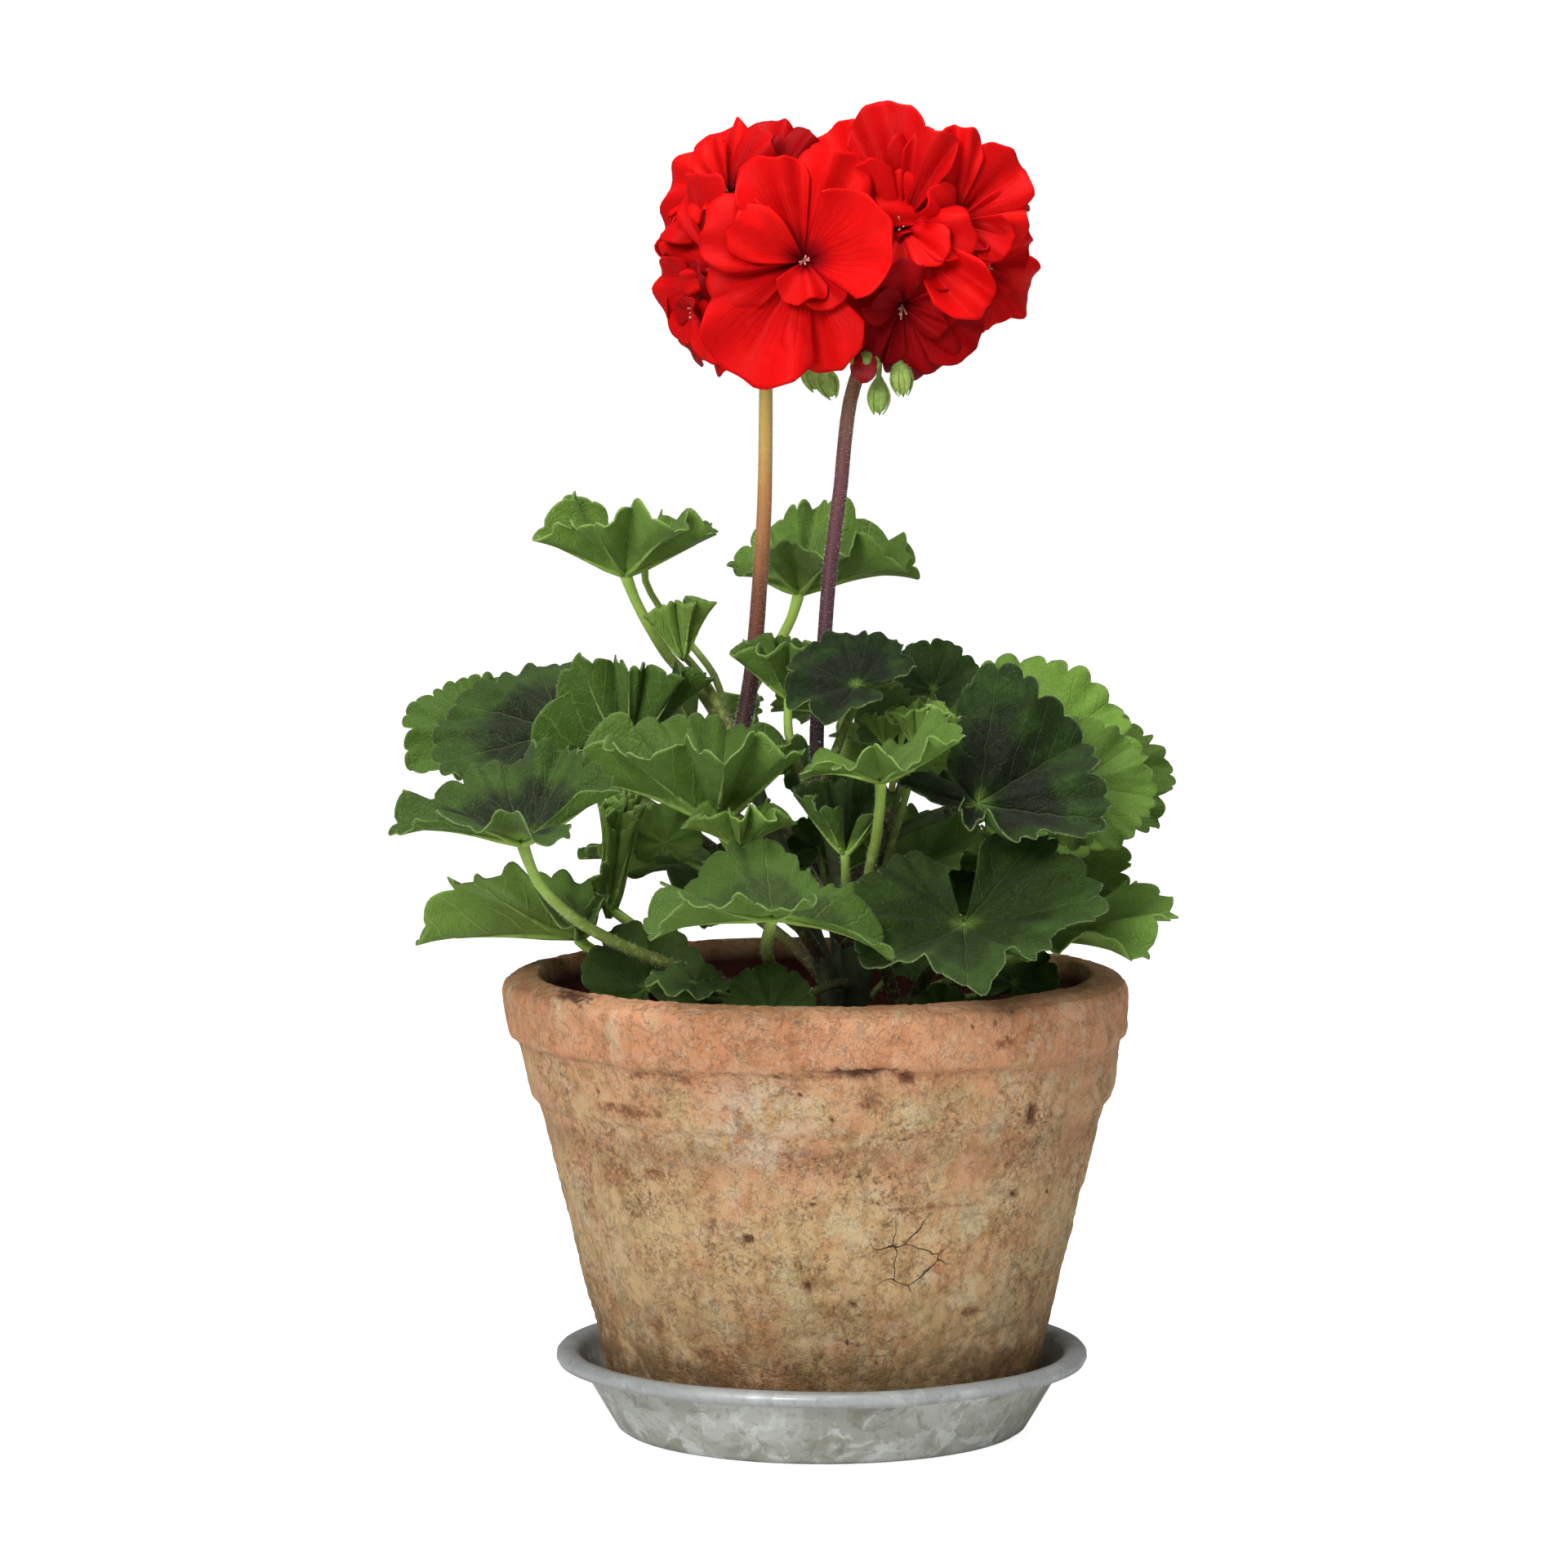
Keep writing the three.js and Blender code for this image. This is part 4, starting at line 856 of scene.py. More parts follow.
# small leaves in the heart of the plant: root, place, lean, toward, midrib, radius, cup, tone
sprouts = [
    (["right", 0.55], [35.6, 18, 146.6], 66, -95, 80, 12, 12, 0.12),
    (["right", 0.75], [21.8, -2, 190.9], 30, -80, 60, 8, 45, 0.7),
    (["middle", 0.8], [18.8, 15, 190.7], 66, -90, 80, 12, 12, 0.12),
    (["middle", 0.75], [7.6, 20, 169], 58, -100, 110, 11, 20, 0.08),
    (["middle", 0.85], [-9.2, 15, 178], 52, -80, 70, 9.5, 25, 0.1),
    (["back", 0.7], [-0.6, 25, 156], 60, -90, 90, 10.5, 18, 0.2),
    (["right", 0.3], [22, -6, 128], 50, -60, 20, 9, 20, 0.15),
    (["lowRight", 0.6], [31, -36, 118], 55, -90, 60, 9, 15, 0.18),
    (["lowLeft", 0.5], [-10, -30, 116], 60, -110, 100, 8, 20, 0.3),
    (["left", 0.55], [-22, 14, 152], 48, -120, 150, 10, 25, 0.25),
    (["left", 0.85], [-33, 14, 176], 40, -70, 90, 9, 35, 0.15),
]

blade = {
    "lobes": 7, "lobeAngle": math.radians(47), "thickness": 0.45, "notch": 0.1, "heel": 0.75,
    "bends": [0, 4, -4, 0, 4, -4, 0], "teeth": 4, "smallTeeth": 3, "toothDepth": 0.06, "smallRadius": 22,
    "stepsPerLobe": 28, "rows": 22, "creaseDepth": 0.024, "creaseWidth": 0.035, "ruffle": 0.042,
    "crinkle": 0.016, "ribRadius": 0.028, "ribLength": 0.75, "ribSides": 6,
}
leafStalk = {"bladeRadius": 1.4, "rootRadius": 1.85, "steps": 30, "sides": 12, "flare": 0.3}
reach = blade["lobeAngle"] * blade["lobes"] / 2


def smoothstep(value, low, high):
    t = np.clip((value - low) / (high - low), 0, 1)
    return t * t * (3 - 2 * t)


# a value given lobe by lobe, eased at an angle from the midrib
def lobeValue(values, phi):
    place = np.clip(phi / blade["lobeAngle"] + 3, 0, len(values) - 1)
    lower = np.minimum(np.floor(place), len(values) - 2).astype(int)
    ease = 0.5 - 0.5 * np.cos(np.pi * (place - lower))
    values = np.asarray(values, dtype=float)
    return values[lower] + (values[lower + 1] - values[lower]) * ease


# share of the radius at an angle from the midrib, rounded off beside the notch at the stalk
def outline(leaf, phi):
    heel = leaf.get("heel", blade["heel"])
    broad = (1 - 0.2 * (1 - np.cos(phi)) / 2) * lobeValue(leaf.get("lobes", [1] * blade["lobes"]), phi)
    corner = smoothstep(np.abs(phi), reach - math.radians(28 + 80 * max(0, 0.75 - heel)), reach)
    return broad * (1 - (1 - heel) * corner * corner)


def leafAxes(leaf):
    lean, toward, midrib = (math.radians(leaf.get(key, 0)) for key in ("lean", "toward", "midrib"))
    axis = np.array([math.sin(lean) * math.cos(toward), math.sin(lean) * math.sin(toward), math.cos(lean)])
    ahead = np.array([math.cos(midrib), math.sin(midrib), 0.0])
    ahead = unit(ahead - axis * np.dot(ahead, axis))
    return axis, ahead, np.cross(axis, ahead)


# a leaf's blade as a grid from the stalk to the rim, lobe by lobe, from one side of the notch to the other
def bladeShape(leaf, luck):
    axis, ahead, side = leafAxes(leaf)
    radius, cup = leaf["radius"], math.radians(leaf["cup"])
    small = radius < blade["smallRadius"]
    steps = blade["lobes"] * (blade["stepsPerLobe"] // (2 if small else 1))
    angles = np.linspace(-reach, reach, steps + 1)[None, :]
    shares = (np.linspace(0, 1, blade["rows"] // (2 if small else 1) + 1) ** 0.85)[:, None]
    lobePlace = (angles + reach) / blade["lobeAngle"]
    inLobe = np.abs((lobePlace % 1) - 0.5) * 2  # 0 on a lobe's midline, 1 between lobes

    # lobes and teeth along the rim
    teeth = blade["smallTeeth"] if small else blade["teeth"]
    tooth = np.abs(np.sin(math.pi * teeth * lobePlace)) ** 0.55
    trim = 1 - blade["notch"] * inLobe ** 3 - blade["toothDepth"] * (1 - tooth) * shares ** 6
    r = radius * outline(leaf, angles) * trim * shares

    # folds between lobes take up the width that a cupped blade has to spare, ruffles and crinkles the rim's
    bent = np.radians(lobeValue(leaf.get("bends", blade["bends"]), angles))
    lift = cup + bent * np.minimum(1, 0.4 + 0.6 * shares)
    slack = math.sqrt(1 / math.cos(cup) - 1)
    depth = leaf.get("pleat", 1) * (0.03 + 0.55 * slack * np.cos(lift)) * 2 / blade["lobes"]
    ridge = np.cos(2 * np.pi * lobePlace) + 0.22 * np.cos(4 * np.pi * lobePlace)
    fold = (0.1 + depth) * r * ridge * 0.5 * (0.75 + 0.55 * shares)
    waves = [(luck.uniform(4.5, 6.5), 1.0), (luck.uniform(9, 12), 0.8), (luck.uniform(19, 25), 0.45)]
    flutter = sum(size * np.sin(speed * angles + luck.uniform(0, 6)) for speed, size in waves)
    fold = fold + blade["ruffle"] * radius * flutter * shares ** 3
    fold = fold + blade["crinkle"] * radius * np.sin(2 * math.pi * teeth * lobePlace) * shares ** 5

    # a sharp crease along each lobe's vein
    midlineGap = np.abs(np.sin(((lobePlace % 1) - 0.5) * blade["lobeAngle"])) * shares
    crease = np.exp(-(midlineGap / blade["creaseWidth"]) ** 2) * (1 - 0.6 * shares)
    fold = fold - blade["creaseDepth"] * radius * crease * np.minimum(1, shares * 5)

    out = ahead * np.cos(angles)[..., None] + side * np.sin(angles)[..., None]
    lift = lift[..., None]
    normal = axis * np.cos(lift) - out * np.sin(lift)
    grid = (np.array(leaf["at"], dtype=float) + out * r[..., None] * np.cos(lift)
            + axis * r[..., None] * np.sin(lift) + normal * fold[..., None])
    points, faces, flat = thinSheet(grid, blade["thickness"], axis)

    # spot: the place on a flat round leaf and the share of its radius; look: tone, zone, 1 on the underside
    spread = np.broadcast_to(shares, r.shape)
    spot = np.stack([spread * np.cos(angles), spread * np.sin(angles), spread], axis=-1).reshape(-1, 3)
    count = len(spot)
    look = np.zeros((2 * count, 3))
    look[:, 0], look[:, 1], look[count:, 2] = leaf["tone"], leaf["zone"], 1.0

    # veins that stand out below, one along each lobe
    below = points[count:].reshape(grid.shape)
    down = unit(below - points[:count].reshape(grid.shape))
    ribs = []
    for lobe in range(blade["lobes"]):
        column = round((lobe + 0.5) * steps / blade["lobes"])
        length = round(blade["ribLength"] * len(below))
        radii = radius * blade["ribRadius"] * np.linspace(1, 0.12, length) ** 1.3
        path = below[:length, column] + down[:length, column] * radii[:, None] * 0.75
        ribs.append((path, radii, spot.reshape(grid.shape)[:, column]))
    return points, faces, flat, np.concatenate([spot, spot]), look, ribs


def leafStalkPath(leaf):
    axis = leafAxes(leaf)[0]
    start = shootPoint(*leaf["root"])
    at = np.array(leaf["at"], dtype=float)
    end = at + axis * min(1.6, math.tan(math.radians(max(0, leaf["cup"]))) - 0.6)  # up into the funnel
    length = np.linalg.norm(end - start)
    if "via" in leaf:
        return smoothPath([start, *leaf["via"], end], leafStalk["steps"])
    neck = at - axis * 0.3 * min(length, 30)
    bow = start + (end - start) * 0.35 + np.array([0, 0, 0.1 * length])
    curve = interpolate_bezier(Vector(start), Vector(bow), Vector(neck), Vector(end), 61)
    return evenly(np.array(curve), leafStalk["steps"])


# a living geranium leaf: dull and felted with short hairs, darker in a horseshoe band, pale along its hairy
# rim; the veins are sunk above and stand out below, where the green is lighter, and some light comes through
def geraniumLeaf():
    material, tree, shader = newMaterial("geraniumLeaf", Roughness=0.5, IOR=1.4, Specular_IOR_Level=0.17,
                                         Sheen_Weight=0.05, Sheen_Roughness=0.5)
    place = addNode(tree, "ShaderNodeTexCoord", output=3)
    spot = addNode(tree, "ShaderNodeAttribute", output=1, attribute_name="spot")
    look = addNode(tree, "ShaderNodeAttribute", output=1, attribute_name="look")
    x, y, share = (addNode(tree, "ShaderNodeSeparateXYZ", {0: spot}, k) for k in range(3))
    tone, zone, under = (addNode(tree, "ShaderNodeSeparateXYZ", {0: look}, k) for k in range(3))

    # where a point lies along and beside the midline of its lobe, in shares of the leaf's radius
    halfLobe = blade["lobeAngle"] / 2
    turn = addNode(tree, "ShaderNodeMath", {0: y, 1: x}, operation="ARCTAN2")
    swing = addNode(tree, "ShaderNodeMath", {0: turn, 1: halfLobe, 2: -halfLobe}, operation="WRAP")
    cosine = addNode(tree, "ShaderNodeMath", {0: swing}, operation="COSINE")
    sine = addNode(tree, "ShaderNodeMath", {0: swing}, operation="SINE")
    wobble = addNode(tree, "ShaderNodeTexNoise", {"Vector": spot, "Scale": 5.0, "Detail": 2})
    sway = addNode(tree, "ShaderNodeMath", {0: wobble, 1: 0.5}, operation="SUBTRACT")
    along = addNode(tree, "ShaderNodeMath", {0: cosine, 1: share}, operation="MULTIPLY")
    across = addNode(tree, "ShaderNodeMath", {0: sine, 1: share}, operation="MULTIPLY")
    across = addNode(tree, "ShaderNodeMath", {0: sway, 1: 0.05, 2: across}, operation="MULTIPLY_ADD")
    beside = addNode(tree, "ShaderNodeMath", {0: across}, operation="ABSOLUTE")

    # one main vein to a lobe, branches that leave it in turn on each side, and a net between them
    width = addNode(tree, "ShaderNodeMath", {0: share, 1: -0.015, 2: 0.021}, operation="MULTIPLY_ADD")
    whichSide = addNode(tree, "ShaderNodeMath", {0: across}, operation="SIGN")
    slant = addNode(tree, "ShaderNodeMath", {0: beside, 1: -1.45, 2: along}, operation="MULTIPLY_ADD")
    slant = addNode(tree, "ShaderNodeMath", {0: whichSide, 1: 0.045, 2: slant}, operation="MULTIPLY_ADD")
    slant = addNode(tree, "ShaderNodeMath", {0: sway, 1: 0.16, 2: slant}, operation="MULTIPLY_ADD")
    slant = addNode(tree, "ShaderNodeMath", {0: slant, 1: 1 / 0.19, 2: 0.5}, operation="MULTIPLY_ADD")
    gap = addNode(tree, "ShaderNodeMath", {0: slant, 1: 0.5}, operation="PINGPONG")
    branches = showing(tree, (gap, 0.075, 0.02), (share, 0.12, 0.3))
    net = addNode(tree, "ShaderNodeTexVoronoi", {"Vector": spot, "Scale": 21.0}, feature="DISTANCE_TO_EDGE")
    veins = addNode(tree, "ShaderNodeMath", {0: showing(tree, (beside, width, 0.004)),
                                             1: showing(tree, branches, 0.45)}, operation="MAXIMUM")
    veins = addNode(tree, "ShaderNodeMath", {0: veins, 1: showing(tree, (net, 0.09, 0.01), 0.22)},
                    operation="MAXIMUM")

    # the dark band is broken by the branches, and its edges wander
    mottle = addNode(tree, "ShaderNodeTexNoise", {"Vector": place, "Scale": 1 / (7 * mm), "Detail": 5,
                                                  "Roughness": 0.6})
    blur = addNode(tree, "ShaderNodeMath", {0: mottle, 1: 0.5}, operation="SUBTRACT")
    blur = addNode(tree, "ShaderNodeMath", {0: blur, 1: 0.35, 2: share}, operation="MULTIPLY_ADD")
    broken = addNode(tree, "ShaderNodeMath", {0: branches, 1: -0.25, 2: 1.0}, operation="MULTIPLY_ADD")
    band = showing(tree, (blur, 0.06, 0.3), (blur, 0.78, 0.5), zone, broken)

    felt = addNode(tree, "ShaderNodeTexNoise", {"Vector": place, "Scale": 1 / (0.5 * mm), "Detail": 3})
    veinsShow = addNode(tree, "ShaderNodeMath", {0: tone, 1: 0.3, 2: 0.04}, operation="MULTIPLY_ADD")
    feltShows = addNode(tree, "ShaderNodeMath", {0: tone, 1: 0.3, 2: 0.05}, operation="MULTIPLY_ADD")
    above = layCoats(tree, "#182a0b", [
        ("#84ad40", tone),
        ("#436620", (mottle, 0.42, 0.7, 0.35)),
        ("#15130c", band, 0.9),
        ("#9fbc64", veins, veinsShow),
        ("#93a67c", (felt, 0.5, 0.68), feltShows),
        ("#86a84c", (share, 0.16, 0.02, 0.5)),  # pale heart
        ("#b6c48e", (share, 0.985, 1.0, 0.12)),  # pale rim
    ])
    below = layCoats(tree, "#42641d", [
        ("#9fc555", tone),
        ("#4f7324", (mottle, 0.42, 0.7, 0.3)),
        ("#2f3415", band, 0.3),
        ("#b9d27c", veins, 0.36),
        ("#b4c596", (felt, 0.5, 0.68, 0.14)),
        ("#a6c95a", (share, 0.42, 0.02, 0.8)),
        ("#c3cf9c", (share, 0.985, 1.0, 0.12)),
    ])
    colour = addNode(tree, "ShaderNodeMix", {0: under, 6: above, 7: below}, 2, data_type="RGBA")
    tree.links.new(colour, shader.inputs["Base Color"])
    upOrDown = addNode(tree, "ShaderNodeMath", {0: under, 1: 2.0, 2: -1.0}, operation="MULTIPLY_ADD")
    relief = addNode(tree, "ShaderNodeMath", {0: upOrDown, 1: veins}, operation="MULTIPLY")
    relief = addNode(tree, "ShaderNodeMath", {0: felt, 1: 0.25, 2: relief}, operation="MULTIPLY_ADD")
    relief = addNode(tree, "ShaderNodeMath", {0: mottle, 1: 2.4, 2: relief}, operation="MULTIPLY_ADD")
    bump = addNode(tree, "ShaderNodeBump", {"Strength": 0.7, "Distance": 0.0009, "Height": relief})
    tree.links.new(bump, shader.inputs["Normal"])
    throughLight = layCoats(tree, colour, [("#8fc43a", 0.5)])
    glow = addNode(tree, "ShaderNodeBsdfTranslucent", {"Color": throughLight, "Normal": bump})
    both = addNode(tree, "ShaderNodeMixShader", {0: 0.25, 1: shader.outputs[0], 2: glow})
    tree.links.new(both, tree.nodes["Material Output"].inputs["Surface"])
    return material


# the juicy stalk of a leaf: lime green and a little see-through by the blade, olive brown by the shoot
def leafStalkSkin():
    material, tree, shader = newMaterial("leafStalkSkin", Roughness=0.5, Specular_IOR_Level=0.3,
                                         Subsurface_Weight=0.15, Subsurface_Scale=0.002)
    along = addNode(tree, "ShaderNodeAttribute", output=1, attribute_name="along")
    run = addNode(tree, "ShaderNodeSeparateXYZ", {0: along}, 0)
    tone = addNode(tree, "ShaderNodeSeparateXYZ", {0: along}, 1)
    place = addNode(tree, "ShaderNodeTexCoord", output=3)
    stripes = addNode(tree, "ShaderNodeTexNoise", {"Vector": place, "Scale": 1 / (2.2 * mm), "Detail": 4})
    older = addNode(tree, "ShaderNodeMath", {0: 0.45, 1: tone}, operation="SUBTRACT", use_clamp=True)
    colour = layCoats(tree, "#4b3826", [
        ("#65712f", (run, 0.05, 0.6)),
        ("#a0c254", (run, 0.5, 0.95)),
        ("#3a4d22", older),
        ("#a9c77a", (stripes, 0.5, 0.7, 0.3)),
    ])
    tree.links.new(colour, shader.inputs["Base Color"])
    bump = addNode(tree, "ShaderNodeBump", {"Strength": 0.3, "Distance": 0.0004, "Height": stripes})
    tree.links.new(bump, shader.inputs["Normal"])
    return material


# gathers the faces that hairs grow from
hairy = {"leafStalks": Gathering(), "leafRims": Gathering(), "flowerStalks": Gathering(), "buds": Gathering()}


def addLeaf(made, leaf, luck):
    points, faces, flat, spot, look, ribs = bladeShape(leaf, luck)
    made.add(points, faces, 0, flat, spot=spot, look=look)
    rim = [face for face, wall in zip(faces, flat) if wall and spot[face[0], 2] > 0.9]
    used = sorted({v for face in rim for v in face})
    order = {v: i for i, v in enumerate(used)}
    hairy["leafRims"].add(points[used], [[order[v] for v in face] for face in rim])
    ribLook = (min(1.0, leaf["tone"] + 0.3), 0.0, 1.0)
    for path, radii, spots in ribs:
        points, faces, _ = tubeShape(path, radii, blade["ribSides"])
        around = np.repeat(spots[:len(path)], blade["ribSides"], axis=0)
        made.add(points, faces, 0, spot=np.concatenate([spots[:1], around, spots[:1]]),
                 look=np.tile(ribLook, (len(points), 1)))
    path = leafStalkPath(leaf)
    run = np.linspace(0, 1, len(path))
    slim = min(1.0, 0.4 + leaf["radius"] / 50)
    radii = slim * (leafStalk["rootRadius"] + (leafStalk["bladeRadius"] - leafStalk["rootRadius"]) * run)
    flare = leafStalk["flare"] * smoothstep(run, 0.9, 1.0) * math.cos(math.radians(leaf["cup"])) ** 2
    points, faces, along = tubeShape(path, radii * (1 + flare), leafStalk["sides"])
    made.add(points, faces, 1, along=np.stack([along, np.full(len(along), leaf["tone"]), along * 0], axis=1))
    hairy["leafStalks"].add(points, faces)


def makeLeaves(bladeFinish, stalkFinish):
    for number, (name, leaf) in enumerate(leaves.items()):
        made = Gathering()
        addLeaf(made, leaf, random.Random(100 + number))
        settle(made.build(name + "_fine", [bladeFinish, stalkFinish]), slotOf[name], name)
    made = Gathering()
    for number, (root, at, lean, toward, midrib, radius, cup, tone) in enumerate(sprouts):
        addLeaf(made, {"root": root, "at": at, "lean": lean, "toward": toward, "midrib": midrib,
                       "radius": radius, "cup": cup, "tone": tone, "zone": 0.2}, random.Random(300 + number))
    settle(made.build("sprouts", [bladeFinish, stalkFinish]), slotOf["leaf_front"])
    print("leaves ready:", len(leaves), "and", len(sprouts), "small ones")


makeLeaves(geraniumLeaf(), leafStalkSkin())


# at is a floret's throat and facing its turn and height. A petal is its turn round the throat, length, half
# spread and lift; a floret without any has four alike, as long as its size. inner petals stand up in the
# throat, drawn by chance where none is given. shade darkens a floret that the others keep from the light.
heads = {
    "left": {
        "centre": [-15, -1, 317], "heart": 7.2, "shoot": ["left", 0.99],
        "stalk": [[-19, 10, 206], [-17, 9, 229], [-15.6, 5, 252], [-15.2, 1, 284], [-15, -1, 306]],
        "buds": [[1, -15, 286], [-3, -12, 288]],
        "florets": [
            {"at": [-5, -27, 318], "facing": [-92, 5],
             "petals": [[114, 31, 27, 20], [70, 32, 28, 16], [18, 29, 44, 40], [159, 30, 30, 24],
                        [197, 27, 30, 16], [240, 37, 37, 8], [285, 31, 30, 8], [268, 15, 38, 50]],
             "inner": [[152, 24, 27, 42], [312, 17, 36, 34]]},
            {"at": [-26, -10, 315], "facing": [-145, -5],
             "petals": [[150, 26, 36, 12], [205, 29, 34, 10], [95, 29, 32, 18], [262, 26, 33, 15],
                        [330, 18, 30, 40]]},
            {"at": [-25, -4, 336], "facing": [-130, 28],
             "petals": [[168, 25, 38, 6], [215, 23, 33, 10], [118, 23, 34, 8], [66, 20, 30, 16],
                        [-40, 17, 34, 20]]},
            {"at": [-14, 0, 337], "facing": [-100, 32], "shade": 0.6,
             "petals": [[62, 20, 28, 18], [97, 22, 28, 8], [134, 20, 28, 20], [-20, 15, 28, 30]]},
            {"at": [-31, -2, 305], "facing": [-155, -18], "size": 20, "shade": 0.5},
            {"at": [-27, 19, 317], "facing": [140, 6], "size": 25},
            {"at": [-13, 19, 318], "facing": [98, 4], "size": 26},
            {"at": [-2, 10, 313], "facing": [60, -10], "size": 23},
            {"at": [-15, 9, 331], "facing": [80, 55], "size": 19},
            {"at": [-19, 9, 303], "facing": [110, -38], "size": 18},
        ],
    },
    "right": {
        "centre": [27, -1, 322], "heart": 7.2, "shoot": ["middle", 0.97],
        "stalk": [[-1.5, -14, 192], [0.5, -14, 216], [2, -11, 235], [5, -9, 258], [7.4, -8, 280],
                  [12, -6, 294], [21, -3, 312]],
        "buds": [[11, -20, 290], [15, -13, 282], [21, -17, 287]],
        "florets": [
            {"at": [21, -22, 327], "facing": [-100, 10],
             "petals": [[100, 35, 25, 6], [66, 29, 20, 22], [-44, 34, 20, 10], [-12, 22, 30, 30],
                        [200, 16, 38, 46], [238, 17, 38, 44], [282, 16, 32, 38]]},
            {"at": [34.5, -20, 328], "facing": [-75, 8],
             "petals": [[86, 27, 20, 20], [44, 26, 34, 8], [2, 21, 34, 12], [120, 29, 24, 4],
                        [156, 23, 28, 10], [-38, 17, 32, 38]]},
            {"at": [41, -14, 316], "facing": [-50, -12],
             "petals": [[-18, 24, 30, 6], [-60, 18, 32, 14], [40, 18, 32, 22], [-105, 18, 32, 24]]},
            {"at": [21, -22, 307], "facing": [-85, -28], "shade": 1,
             "petals": [[218, 22, 30, 18], [-80, 24, 25, 10], [-116, 19, 30, 16], [-26, 24, 34, 16],
                        [-54, 22, 32, 22], [12, 17, 30, 38], [96, 19, 36, 44]]},
            {"at": [12.5, -8, 326], "facing": [-110, 20],
             "petals": [[106, 33, 32, 6], [150, 25, 32, 10], [196, 22, 30, 14]]},
            {"at": [36, 8, 335], "facing": [60, 58], "size": 21},
            {"at": [39, 14, 322], "facing": [28, 6], "size": 22},
            {"at": [31, 28, 320], "facing": [85, 4], "size": 23},
            {"at": [22, 17, 327], "facing": [125, 22], "size": 21},
            {"at": [22, 13, 310], "facing": [140, -30], "size": 18},
            {"at": [37, 9, 309], "facing": [40, -35], "size": 17},
        ],
    },
}


petalForm = {
    "thickness": 0.35, "columns": 26, "rows": 20, "round": 0.24, "ripple": 0.034, "fold": 0.06, "dish": 0.1,
    "wave": 0.05, "curl": 0.18, "curlFrom": 0.62, "curlGrowth": 6.9, "crease": 0.03, "creaseWidth": 0.16,
    "innerPetals": 2,
}
stamens = {"count": 6, "length": 4.6, "radius": 0.2, "tip": 0.6, "lean": 0.38}
sepals = {"steps": 9, "columns": 5, "thickness": 0.3}


# a plain row of draws, the same as the solids' petals are made with
def seededRandom(seed):
    state = seed * 2654435761 % 4294967296
    while True:
        state = (state * 1664525 + 1013904223) % 4294967296
        yield state / 4294967296


def heading(turn, height):
    a, e = math.radians(turn), math.radians(height)
    return np.array([math.cos(e) * math.cos(a), math.cos(e) * math.sin(a), math.sin(e)])


# one petal: a narrow claw at the throat that fans out to a rounded, waved edge
def petalShape(throat, facing, row, phase, waviness, shade, luck):
    spin, length, spread, lift = row
    sideways = unit(np.cross((0.0, 0.0, 1.0), facing))
    above = np.cross(facing, sideways)

    def direction(angle):
        return sideways * math.cos(math.radians(angle)) + above * math.sin(math.radians(angle))

    out, across = direction(spin), direction(spin + 90)
    side = np.linspace(-1, 1, petalForm["columns"] + 1)[None, :]
    share = (0.04 + 0.96 * np.linspace(0, 1, petalForm["rows"] + 1) ** 0.9)[:, None]
    angle = side * math.radians(spread)
    edge = 1 - petalForm["round"] * np.abs(side) ** 3
    edge = edge - 0.035 * np.abs(np.sin(side * 3.2 + luck.uniform(0, 6))) * share ** 5
    edge = edge - 0.02 * np.abs(np.sin(side * 7.1 + luck.uniform(0, 6))) * share ** 8
    far = length * share * edge
    rise = math.radians(lift) * (1 - 0.3 * share)

    # height above a flat petal: a dish, waves, ripples at the edge, folds, a curled tip and a crease
    wave = petalForm["wave"] * length * (0.6 + 0.8 * waviness)
    height = petalForm["dish"] * length * side ** 2 * share
    height = height + wave * share ** 2 * np.sin(4 * side + phase * 2 * math.pi)
    height = height + petalForm["ripple"] * length * share ** 4 * np.sin(9 * side + luck.uniform(0, 6))
    folds = np.sin(luck.uniform(5, 7) * side + luck.uniform(0, 6))
    height = height + petalForm["fold"] * length * share * folds
    curl = luck.uniform(-0.4, 1.0) * petalForm["curl"] * length
    curl = curl * (0.7 + 0.3 * np.sin(3 * side + luck.uniform(0, 6)))
    height = height - curl * np.maximum(0, share - petalForm["curlFrom"]) ** 2 * petalForm["curlGrowth"]
    crease = np.exp(-(side / petalForm["creaseWidth"]) ** 2) * (1 - 0.7 * share)
    height = height - petalForm["crease"] * length * crease

    along = far * np.cos(angle)
    grid = (throat + across * (far * np.sin(angle))[..., None]
            + out * (along * np.cos(rise) - height * np.sin(rise))[..., None]
            + facing * (along * np.sin(rise) + height * np.cos(rise))[..., None])
    if np.dot(np.cross(out, across), facing) < 0:
        grid = grid[:, ::-1]
    points, faces, flat = thinSheet(grid, petalForm["thickness"])
    # a random darker tone, plus the painted shade of florets that others keep from the light
    depth = min(1, 0.45 * luck.random() ** 2 + shade)
    spot = np.stack(np.broadcast_arrays(side, share, depth), axis=-1).reshape(-1, 3)
    return points, faces, flat, np.concatenate([spot, spot])
